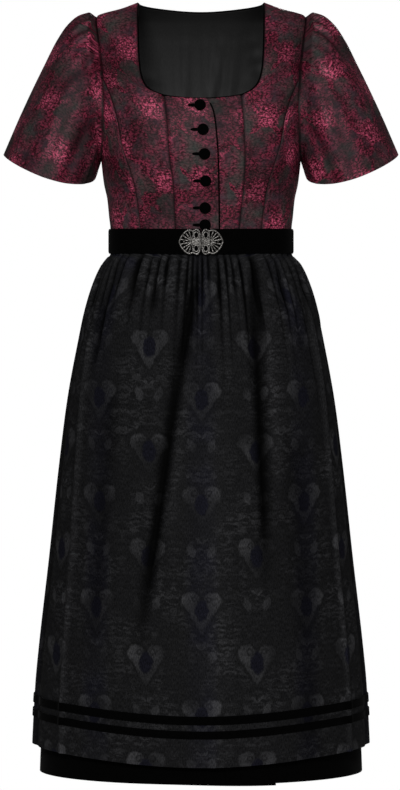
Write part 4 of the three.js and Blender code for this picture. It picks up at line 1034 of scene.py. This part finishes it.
def damask_jacquard():
    """Tone-on-tone jacquard: the ground is dull and the figure satin, so one black yarn shows
    two greys. Tulips with curled lobes and a pointed foot stand in half-drop columns, a pair of
    drops over each, with mirrored sprays between; every other column has a bluish weft. Threads
    are drawn 1.3 mm apart so that they show. Painted shade darkens the hollows of folds and
    gathers, and a painted highlight lightens their ridges."""
    material, node, shader = new_material("damask_jacquard")
    cloth = node("VectorMath SCALE", node("UVMap", uv_map="cloth"), Scale=1 / MM)
    spot = node("VectorMath ADD", cloth, (MEDALLION_COLUMN / 2, MEDALLION_TOP, 0))
    wobble = node("TexNoise", cloth, Scale=1 / STRAY_SIZE, Detail=4.0, out="Color")
    wobble = node("VectorMath SUBTRACT", wobble, (0.5, 0.5, 0.5))
    wobble = node("VectorMath SCALE", wobble, Scale=STRAY)
    spot = node("VectorMath ADD", spot, wobble)
    x, y = half_drop(node, spot, MEDALLION_COLUMN, MEDALLION_REPEAT)
    x = node("Math DIVIDE", node("Math ABSOLUTE", x), MEDALLION_SIZE)
    y = node("Math DIVIDE", node("Math MULTIPLY", y, -1.0), MEDALLION_SIZE)
    here = node("CombineXYZ", x, y)
    # A tulip: a wedge down to its foot with a round lobe on each shoulder.
    lobe = node("VectorMath DISTANCE", here, TULIP_LOBE, out="Value")
    wedge = node("Math SUBTRACT", node("Math MULTIPLY_ADD", y, TULIP_TAPER, TULIP_HALF_WIDTH), x)
    wedge = node("Math MINIMUM", wedge, node("Math SUBTRACT", TULIP_TOP, y))
    rim = node("Math MAXIMUM", node("Math SUBTRACT", TULIP_LOBE_RADIUS, lobe), wedge)
    body = node("MapRange", rim, 0.0, 0.12, 0.0, 1.0)
    # Ground shows in its oval core, in the throat above it and along a curl in each lobe.
    core = node("VectorMath SUBTRACT", here, TULIP_CORE)
    core = node("VectorMath MULTIPLY", core, TULIP_CORE_SHARE)
    core = node("VectorMath LENGTH", core, out="Value")
    core = node("MapRange", core, 0.8, 1.05, 1.0, 0.0)
    throat = node("Math MULTIPLY", node("MapRange", x, 0.08, 0.18, 1.0, 0.0),
                  node("MapRange", y, 0.3, 0.5, 0.0, 1.0))
    curl = node("VectorMath DISTANCE", here, TULIP_CURL, out="Value")
    curl = node("Math ABSOLUTE", node("Math SUBTRACT", curl, TULIP_CURL_RADIUS))
    curl = node("MapRange", curl, 0.02, 0.08, 0.7, 0.0)
    hollow = node("Math MAXIMUM", node("Math MAXIMUM", core, throat), curl)
    body = node("Math MULTIPLY", body, node("MapRange", y, -1.0, 0.6, 0.35, 0.9))
    figure = node("Math MULTIPLY", body, node("Math SUBTRACT", 1.0, hollow))
    drop, tick = (leaf(node, x, y, *drawn) for drawn in TULIP_DROPS)
    drops = node("MapRange", node("Math MAXIMUM", drop, tick), 0.0, 0.3, 0.0, 0.75)
    figure = node("Math MAXIMUM", figure, drops)
    # The sprays: a noise run along the column and bent by another, mirrored about its middle.
    fall = node("SeparateXYZ", spot, out="Y")
    fall = node("Math DIVIDE", fall, MEDALLION_SIZE)
    curls = node("CombineXYZ", node("Math MULTIPLY", x, 1.6), node("Math MULTIPLY", fall, 4.2))
    bent = node("TexNoise", curls, Scale=0.9, Detail=3.0, out="Color")
    bent = node("VectorMath SCALE", bent, Scale=1.8)
    curls = node("VectorMath ADD", curls, bent)
    spray = node("TexNoise", curls, Scale=1.7, Detail=4.0, out="Fac")
    spray = node("MapRange", spray, 0.46, 0.62, 0.0, 0.45)
    beside = node("MapRange", rim, -0.35, 0.0, 1.0, 0.0)
    figure = node("Math MAXIMUM", figure, node("Math MULTIPLY", spray, beside))
    # The yarns, the dulled patches, the bluish weft, and the painted shade and highlight of the
    # folds.
    threads = node("VectorMath MULTIPLY", cloth, (1 / YARN_APART, 1 / YARN_LENGTH, 0))
    threads = node("TexNoise", threads, Scale=1.0, Detail=3.0, out="Fac")
    wide = node("TexNoise", cloth, Scale=1 / WORN_SIZE, Detail=2.0, out="Fac")
    figure = node("Math MULTIPLY", figure, node("MapRange", wide, 0.4, 0.62, 0.15, 1.0))
    colour = node("Mix", numbered={0: figure, 6: "#1a1a1b", 7: "#404042"}, out=2, data_type="RGBA")
    stripe = node("SeparateXYZ", cloth, out="X")
    stripe = node("Math COSINE", node("Math MULTIPLY", stripe, np.pi / MEDALLION_COLUMN))
    blue = node("Math MULTIPLY", node("MapRange", stripe, 0.55, 0.95, 0.0, 0.5),
                node("MapRange", wide, 0.45, 0.6, 0.3, 1.0))
    blue = node("Math MAXIMUM", blue, node("Math MULTIPLY", core, 0.7))
    colour = node("Mix", numbered={0: blue, 6: colour, 7: "#14141f"}, out=2, data_type="RGBA")
    # Painted shade and highlight: the shade attribute darkens hollows of folds and gathers and
    # lightens their ridges.
    hollow = node("Attribute", attribute_name="shade", out="Fac")
    shade = node("Math MULTIPLY", node("MapRange", threads, 0.3, 0.7, 0.4, 1.6),
                 node("Math MULTIPLY_ADD", hollow, -0.95, 1.0))
    colour = node("VectorMath SCALE", colour, Scale=shade)
    relief = node("Math MULTIPLY_ADD", threads, 0.6, figure)
    bump = node("Bump", Strength=0.25, Distance=0.0004, Height=relief)
    roughness = node("MapRange", figure, 0.0, 1.0, 0.75, 0.55)
    finish_shader(shader, Base_Color=colour, Normal=bump, Roughness=roughness,
                  Specular_IOR_Level=0.04)
    return material


def wool_twill():
    """Plain black skirt cloth: a matt twill, whose fine slanting ribs are drawn 3 mm apart so
    that they show, under a thin fluff."""
    material, node, shader = new_material("wool_twill")
    cloth = node("VectorMath SCALE", node("UVMap", uv_map="cloth"), Scale=1 / MM)
    slant = node("VectorMath DOT_PRODUCT", cloth, (0.8, 0.6, 0), out="Value")
    ribs = node("Math SINE", node("Math MULTIPLY", slant, 2 * np.pi / 3))
    fluff = node("TexNoise", cloth, Scale=1 / 4, Detail=3.0, out="Fac")
    colour = node("Mix", numbered={0: fluff, 6: "#0b0b0c", 7: "#18181a"}, out=2, data_type="RGBA")
    relief = node("Math MULTIPLY_ADD", ribs, 0.3, fluff)
    bump = node("Bump", Strength=0.2, Distance=0.0004, Height=relief)
    finish_shader(shader, Base_Color=colour, Normal=bump, Roughness=0.85, Specular_IOR_Level=0.06)
    return material


jacquard, skirt_twill = damask_jacquard(), wool_twill()
skirt_ring, gather_size = table(SKIRT_ROWS), table(GATHER_ROWS)


def from_front(angle):
    """How far round from centre front, to either side."""
    return np.abs(np.arctan2(np.sin(angle), np.cos(angle)))


def fold_height(angle, z, reach):
    """The long folds: each a bell across its line, which drifts from one angle to another on the
    way down, and fades in and out at its ends unless it reaches the hem."""
    height = 0
    for start, end, top, bottom, depth, half_width in FOLDS:
        down = (top - z) / (top - bottom)
        line = start + (end - start) * np.clip(down, 0, 1) ** 0.6
        away = angle - np.radians(line)
        away = np.arctan2(np.sin(away), np.cos(away)) * reach
        ends = smoothstep(top - z, 0, FOLD_START)
        if bottom > APRON_HEM_Z:
            ends = ends * (1 - smoothstep(down, *FOLD_END))
        height = height + depth * ends * np.exp(-((away / half_width) ** 2))
    return height


def tilted(z, angle):
    """The height, lowered in front as the waist is, less so further down."""
    return z - WAIST_TILT * np.cos(angle) * smoothstep(z, *TILT_HEIGHTS)


def skirt_base(angle, level):
    return ring_point(skirt_ring(level), angle, tilted(level, angle))


def apron_base(angle, level):
    """The skirt's ring with the hem raised towards the sides as a squared sine."""
    aside = np.minimum(from_front(angle), np.pi / 2)
    rise = APRON_SIDE_RISE * np.sin(aside) ** 2 * smoothstep(-level, *APRON_RISE_DOWN)
    return skirt_base(angle, level) + np.stack([0 * rise, 0 * rise, rise], axis=-1)


def gather(angle, z, count, spread):
    """Waist gathers: a cosine whose waves are pushed together and apart by two slow sines, each
    with its own height and length. Troughs are narrower than ridges."""
    share = angle / spread
    wave = (share * count + 1.1 * np.sin(9 * share) + 0.6 * np.sin(23 * share + 1)) * np.pi
    number = np.round(wave / (2 * np.pi))
    uneven = 0.65 + 0.35 * np.sin(2.3 * number)
    longer = 1 + 0.5 * np.sin(4.1 * number + 0.7)
    level = GATHER_TOP + (z - GATHER_TOP) / longer
    trough = np.cos(wave)
    return GATHER_HEIGHT * uneven * gather_size(level)[0] * (0.5 * trough + 0.5 - 2 * np.maximum(
        0, -trough) ** 2)


def apron_point(angle, level, moved=0.0):
    normal, point = outward(apron_base, angle, level), apron_base(angle, level)
    height = gather(angle, level, APRON_GATHERS, APRON_EDGE_ANGLE) + moved
    height = height + fold_height(angle, level, np.hypot(point[..., 0], point[..., 1]))
    return point + normal * height[..., None]


def skirt_point(angle, level, moved=0.0):
    """The skirt lies inside the apron and comes out behind its edges."""
    behind = smoothstep(from_front(angle), *SKIRT_COMES_OUT)
    normal, point = outward(skirt_base, angle, level), skirt_base(angle, level)
    height = gather(np.pi - from_front(angle), level, SKIRT_GATHERS, np.pi - APRON_EDGE_ANGLE)
    height = height + fold_height(angle, level, np.hypot(point[..., 0], point[..., 1]))
    inside = -skirt_ring(level)[4] * (1 - SKIRT_OUT_SHARE * behind)
    return point + normal * (inside + behind * height + moved)[..., None]


def layer(point_at, angles, levels, moved=0.0):
    """A grid of points with a row for each level and a column for each angle."""
    level, angle = np.meshgrid(levels, angles, indexing="ij")
    return point_at(angle, level, moved)


def falling_levels(top, bottom, count):
    """Levels from top to bottom, closer near the waist: share^1.35, with two more at the hem."""
    levels = top + (bottom - top) * np.linspace(0, 1, count) ** 1.35
    return np.concatenate([levels[:-1], [bottom + 1.5, bottom + 0.5, bottom]])


def hollows(angles, levels):
    """The apron's painted shade at each point, for its depth in the folds and, more so, in the
    narrow gathers; a ridge is below 0, down to half as much, a painted highlight."""
    level, angle = np.meshgrid(levels, angles, indexing="ij")
    point = apron_base(angle, level)
    height = fold_height(angle, level, np.hypot(point[..., 0], point[..., 1])) / FOLD_PAINTED_SHADE_AT
    height = height + gather(angle, level, APRON_GATHERS, APRON_EDGE_ANGLE) / GATHER_PAINTED_SHADE_AT
    return np.clip(-height, -0.5, 1)


def add_layer(name, node, points, finish, wall, is_tube, shade=None):
    """A layer of the skirt in its node's place, its cloth's run measured from its middle."""
    closed = np.concatenate([points, points[:, :1]], axis=1) if is_tube else points
    across = run_lengths(closed, 1)
    middle = across[:, across.shape[1] // 2][:, None]
    uv = np.stack([across - middle, run_lengths(closed, 0)], axis=-1)
    piece = add_grid(name, points, finish, uv * MM, wall, is_tube, shade=shade)
    fit(piece, node)


SKIRT_BEHIND, SKIRT_UNDER, SKIRT_DOWN = 180, 100, 110  # columns bare and under the apron, rows
APRON_ROUND, APRON_DOWN, BAND_ROUND = 400, 120, 300
skirt_angles = np.concatenate([
    np.linspace(APRON_EDGE_ANGLE, 2 * np.pi - APRON_EDGE_ANGLE, SKIRT_BEHIND, endpoint=False),
    np.linspace(2 * np.pi - APRON_EDGE_ANGLE, 2 * np.pi + APRON_EDGE_ANGLE, SKIRT_UNDER,
                endpoint=False)])
add_layer("cloth_skirt", "skirt",
          layer(skirt_point, skirt_angles, falling_levels(LAYER_TOP, SKIRT_HEM_Z, SKIRT_DOWN)),
          skirt_twill, SKIRT_CLOTH, True)

# The velvet band round the skirt's hem, its end lapped over its start at the front left.
VELVET = 1.3
HEM_BAND_HEIGHT, BAND_DROP, BAND_LAP_DROP = 60, 2, 3
BAND_START, BAND_LAP = np.radians([388, 5])
LAP_RISE, SAG_RUN = (0.03, 0.01), 0.9  # radians before the band's end
band_angles = BAND_START + np.linspace(0, 2 * np.pi + BAND_LAP, BAND_ROUND)


def band_point(angle, level, moved=0.0):
    """The band on the skirt: its end lies over its start, and sags towards it."""
    end = band_angles[-1]
    lap = smoothstep(angle, *(end - rise for rise in LAP_RISE))
    sag = BAND_LAP_DROP * smoothstep(angle, end - SAG_RUN, end)
    point = skirt_point(angle, level, LAY + VELVET + lap * (VELVET + LAY) + moved)
    return point - np.stack([0 * lap, 0 * lap, sag], axis=-1)


band_bottom = SKIRT_HEM_Z - BAND_DROP
band_levels = band_bottom + HEM_BAND_HEIGHT * shares(10, 0.02)
add_layer("cloth_hem_band", "hem_band", layer(band_point, band_angles, band_levels),
          velvet, VELVET, False)

apron_angles = np.linspace(-APRON_EDGE_ANGLE, APRON_EDGE_ANGLE, APRON_ROUND)
apron_levels = falling_levels(LAYER_TOP, APRON_HEM_Z, APRON_DOWN)
add_layer("cloth_apron", "apron", layer(apron_point, apron_angles, apron_levels),
          jacquard, JACQUARD, False,
          hollows(apron_angles, apron_levels))
# Two velvet ribbons are sewn on near its hem.
for name, top, bottom in [("ribbon_upper", -1052.5, -1064.5), ("ribbon_lower", -1073.6, -1084.6)]:
    levels = top + (bottom - top) * shares(4, 0.06)
    add_layer("cloth_" + name, name,
              layer(apron_point, apron_angles, levels, LAY + VELVET), velvet, VELVET, False)

# ---- Belt ----------------------------------------------------------------------------------
# A band of black velvet over a firm core, closed in front by the clasp, bowed out over the
# lowest button.
BELT_WALL, BELT_BOW, BELT_HEIGHT, BELT_TOP_Z = 2.2, 6.4, 36.5, -341.5
BELT_RING = (136.7, 94.9, 87, 2.4)
BELT_OPENING, BELT_MEETS = np.radians([0.9, 0.3])  # where its core and its velvet end
BOW_FADES = (37, 80)  # x, to either side
BELT_ROUND, BELT_ROUND_WIDTH = 0.9, 1.6


def belt_ring(angle, z):
    return ring_point(BELT_RING, angle, z)


def belt_point(angle, down, moved=0.0):
    """A point on the belt, down being its share of the way down; it bows out less at its foot."""
    z = BELT_TOP_Z - WAIST_TILT * np.cos(angle) - down * BELT_HEIGHT
    point = belt_ring(angle, z)
    fade = 1 - smoothstep(np.abs(point[..., 0]), *BOW_FADES)
    bow = np.where(point[..., 1] < 0, BELT_BOW * fade * (1 - 0.5 * down), 0)
    return point + outward(belt_ring, angle, z) * (BELT_WALL + bow + moved)[..., None]


def add_belt():
    """The belt's outer face, rounded over at its edges by a bell."""
    down, angle = np.meshgrid(shares(14, 0.03),
                              np.linspace(BELT_MEETS, 2 * np.pi - BELT_MEETS, 300),
                              indexing="ij")
    near = np.minimum(down, 1 - down) * BELT_HEIGHT
    points = belt_point(angle, down, -BELT_ROUND * np.exp(-(near / BELT_ROUND_WIDTH) ** 2))
    piece = add_grid("cloth_belt", points, velvet, None, BELT_WALL - BELT_ROUND)
    fit(piece, "belt")


add_belt()

# ---- Buttons -------------------------------------------------------------------------------
# Six domed buttons covered in black velvet, sewn on by a shank, down the edge of the overlap, each
# through a buttonhole worked in black thread.
BUTTON_RADIUS, BUTTON_HEIGHT, BUTTON_RIM, BUTTON_LAY = 8.5, 4.6, 1.1, 0.5
BUTTON_RINGS, BUTTON_SIDES, HOLE_STEPS, BAR_STEPS, THREAD_SIDES = 9, 28, 40, 16, 6
BUTTON_SHANK = np.array([(0, 0), (2.6, 0), (2.6, 0.7), (7.2, 0.6)])  # reach and height
BUTTONS = [(-1.5, -166), (2.9, -201.8), (5.1, -237), (6.6, -275.8), (5.9, -315.3), (5.9, -340.5)]


def button_points(x, z):
    """A dome turned about the way off the cloth: a shank, a rolled rim and a quarter of an oval
    whose reach is cos^0.9."""
    angle = front_angle(np.float64(x), np.float64(z))
    normal = outward(torso, angle, np.float64(z))
    centre = torso(angle, np.float64(z)) + normal * (PLACKET_LIFT + BUTTON_LAY)
    turn = np.linspace(0, np.pi / 2, BUTTON_RINGS)
    reach = np.append(BUTTON_SHANK[:, 0], BUTTON_RADIUS * np.cos(turn) ** 0.9)
    dome = BUTTON_RIM + (BUTTON_HEIGHT - BUTTON_RIM) * np.sin(turn)
    height = np.append(BUTTON_SHANK[:, 1], dome)
    aside = unit(np.cross([0, 0, 1], normal))
    over = np.cross(normal, aside)
    spin = np.linspace(0, 2 * np.pi, BUTTON_SIDES, endpoint=False)
    circle = aside * np.cos(spin)[:, None] + over * np.sin(spin)[:, None]
    return centre + circle * reach[:, None, None] + normal * height[:, None, None], centre


def close_poles(mesh):
    """Merges each ring that has shrunk to a point, so that a turned shape is closed there."""
    form = bmesh.new()
    form.from_mesh(mesh)
    bmesh.ops.remove_doubles(form, verts=form.verts, dist=1e-6)
    form.to_mesh(mesh)
    form.free()


for i, (x, z) in enumerate(BUTTONS, 1):
    points, centre = button_points(x, z)
    button = add_grid(f"cloth_button_{i}", points, velvet, None, 0, True, centre)
    close_poles(button.data)
    fit(button, f"button_{i}")

BUTTONHOLE_OUT, BUTTONHOLE_HALF, BUTTONHOLE_UP = 10.0, 7.5, 1.5
BUTTONHOLE_THREAD, EDGE_OVER, BAR_OVER = 0.9, 0.3, 0.1


def on_placket(x, z, over):
    """Points on the face of the buttonhole side, moved off it, with the way off it."""
    angle = front_angle(x, z)
    normal = outward(torso, angle, z)
    return torso(angle, z) + normal * (PLACKET_LIFT + over), normal


def add_buttonhole(number, x, z):
    """A worked buttonhole: a cord of thread carried round a long ellipse, and a bar of it down
    the slit, both half sunk in the cloth."""
    turn = np.linspace(0, 2 * np.pi, HOLE_STEPS, endpoint=False)
    middle = x - BUTTONHOLE_OUT
    edge = on_placket(middle + BUTTONHOLE_HALF * np.cos(turn), z + BUTTONHOLE_UP * np.sin(turn),
                      EDGE_OVER)
    run = np.linspace(-BUTTONHOLE_HALF, BUTTONHOLE_HALF, BAR_STEPS)
    slit = on_placket(middle + run, z + 0 * run, BAR_OVER)
    tubes = [(sweep(edge[0], BUTTONHOLE_THREAD, THREAD_SIDES, True, edge[1]), True),
             (sweep(slit[0], BUTTONHOLE_THREAD, THREAD_SIDES, False, slit[1]), False)]
    add_tubes(f"buttonhole_{number}", tubes, velvet)


for i, (x, z) in enumerate(BUTTONS, 1):
    add_buttonhole(i, x, z)

# ---- Clasp ---------------------------------------------------------------------------------
# Two halves of cast openwork in antiqued silver-coloured metal, sewn to the belt's ends and
# hooked together at the middle: a scalloped rim round ribs that fan out from a boss, a ring at
# each inner corner, and a ridged plate between them.
CLASP_Z, CLASP_STANDOFF = -365.4, 0.8
CLASP_MIDDLE = 1.0  # of its thickness, in front of the plate's back
TARNISH_SIZE = 1.6
CLASP_TURN, CLASP_TILT = np.radians(2.4), np.arctan2(0.5 * BELT_BOW, BELT_HEIGHT)
CLASP_RIM = [(1.6, 0), (1.6, 8), (2.5, 14.2), (6, 18), (10.2, 16.5), (12.5, 15.8), (17, 17.2),
             (21.6, 15.4), (25.8, 11.6), (29.6, 6.1), (32, 0)]
CLASP_BOSS_X, RIM_WIRE, RIB_WIRE, RING_WIRE = 12.5, 1.35, 1.15, 1.0
RIBS = [(12, 18.5), (33, 17), (52, 17), (71, 16.5), (94, 15.5)]  # angle, length
RING_X, RING_Z, RING_HALF_WIDTH, RING_HALF_HEIGHT = 7.0, 9.8, 3.4, 4.6
BEAD_X, BEAD_RADIUS = 25, 1.6
RIB_SHARES = np.linspace(0.12, 1, 12)  # of its length, from the boss
PLATE_RIDGES = np.linspace(-5.4, 5.4, 7)  # where the plate's ridges meet the inner edge
PLATE_START, PLATE_LENGTH, PLATE_NARROWS, PLATE_WIRE, PLATE_BACK = 2.2, 11.7, 0.45, 0.9, 0.2


def clasp_place(side, x, z, out):
    """A spot on a half's flat drawing, turned with the belt's end and tilted with its face."""
    turn, tilt = side * CLASP_TURN, CLASP_TILT
    x, y = (side * x * np.cos(turn) + out * np.sin(turn),
            side * x * np.sin(turn) - out * np.cos(turn))
    face = belt_point(np.float64(BELT_OPENING), np.float64(0.5))[1] - CLASP_STANDOFF
    return np.stack(np.broadcast_arrays(x, y * np.cos(tilt) - z * np.sin(tilt) + face,
                                        y * np.sin(tilt) + z * np.cos(tilt) + CLASP_Z), axis=-1)


def clasp_wire(side, x, z, radius, is_loop=False, out=CLASP_MIDDLE):
    """A round wire along a line of a half's flat drawing."""
    path = clasp_place(side, x, z, out)
    up = unit(clasp_place(side, x, z, out + 1.0) - path)
    return sweep(path, radius, CORD_SIDES, is_loop, up), is_loop


def antique_silver():
    """Cast white metal, darkened in its hollows and rubbed bright on its ridges: broken grey
    highlights of a worn surface."""
    material, node, shader = new_material("antique_silver")
    spot = node("VectorMath SCALE", node("TexCoord", out="Object"), Scale=1 / MM)
    tarnish = node("TexNoise", spot, Scale=1 / TARNISH_SIZE, Detail=3.0, out="Fac")
    worn = node("MapRange", tarnish, 0.4, 0.62, 0.0, 1.0)
    colour = node("Mix", numbered={0: worn, 6: "#454340", 7: "#b4b1ad"}, out=2, data_type="RGBA")
    bump = node("Bump", Strength=0.3, Distance=0.0003, Height=tarnish)
    roughness = node("MapRange", worn, 0.0, 1.0, 0.55, 0.38)
    finish_shader(shader, Base_Color=colour, Normal=bump, Metallic=1.0, Roughness=roughness)
    return material


def add_clasp(side, side_name, finish):
    """One half: every wire of the drawing in one mesh, mirrored above and below the middle."""
    upper = spline(CLASP_RIM)(np.linspace(0, 1, 60))
    rim_x, rim_z = np.concatenate([upper, (upper * [1, -1])[-2:0:-1]]).T
    wires = [clasp_wire(side, rim_x, rim_z, RIM_WIRE, True)]
    for rib_angle, rib_length in RIBS:
        for lean in np.radians([-rib_angle, rib_angle]):
            reach = rib_length * RIB_SHARES
            wires.append(clasp_wire(side, CLASP_BOSS_X + reach * np.cos(lean),
                                    reach * np.sin(lean), RIB_WIRE * (0.6 + 0.5 * RIB_SHARES)))
    turn = np.linspace(0, 2 * np.pi, 28, endpoint=False)
    for way in (-1, 1):
        wires.append(clasp_wire(side, RING_X + RING_HALF_WIDTH * np.cos(turn),
                                way * RING_Z + RING_HALF_HEIGHT * np.sin(turn), RING_WIRE, True))
    run = np.linspace(0, 1, 14)
    for height in PLATE_RIDGES:
        narrowed = height * (1 - PLATE_NARROWS * run ** 2)
        wires.append(clasp_wire(side, PLATE_START + PLATE_LENGTH * run, narrowed, PLATE_WIRE,
                                out=CLASP_MIDDLE - PLATE_BACK))
    bead = np.linspace(0, np.pi, 10)
    wires.append(clasp_wire(side, BEAD_X - BEAD_RADIUS * np.cos(bead), 0 * bead,
                            np.maximum(BEAD_RADIUS * np.sin(bead), 0.05)))
    piece = add_tubes(f"clasp_openwork_{side_name}", wires, finish)
    fit(piece, f"clasp_{side_name}")


silver = antique_silver()
add_clasp(-1, "right", silver)
add_clasp(1, "left", silver)
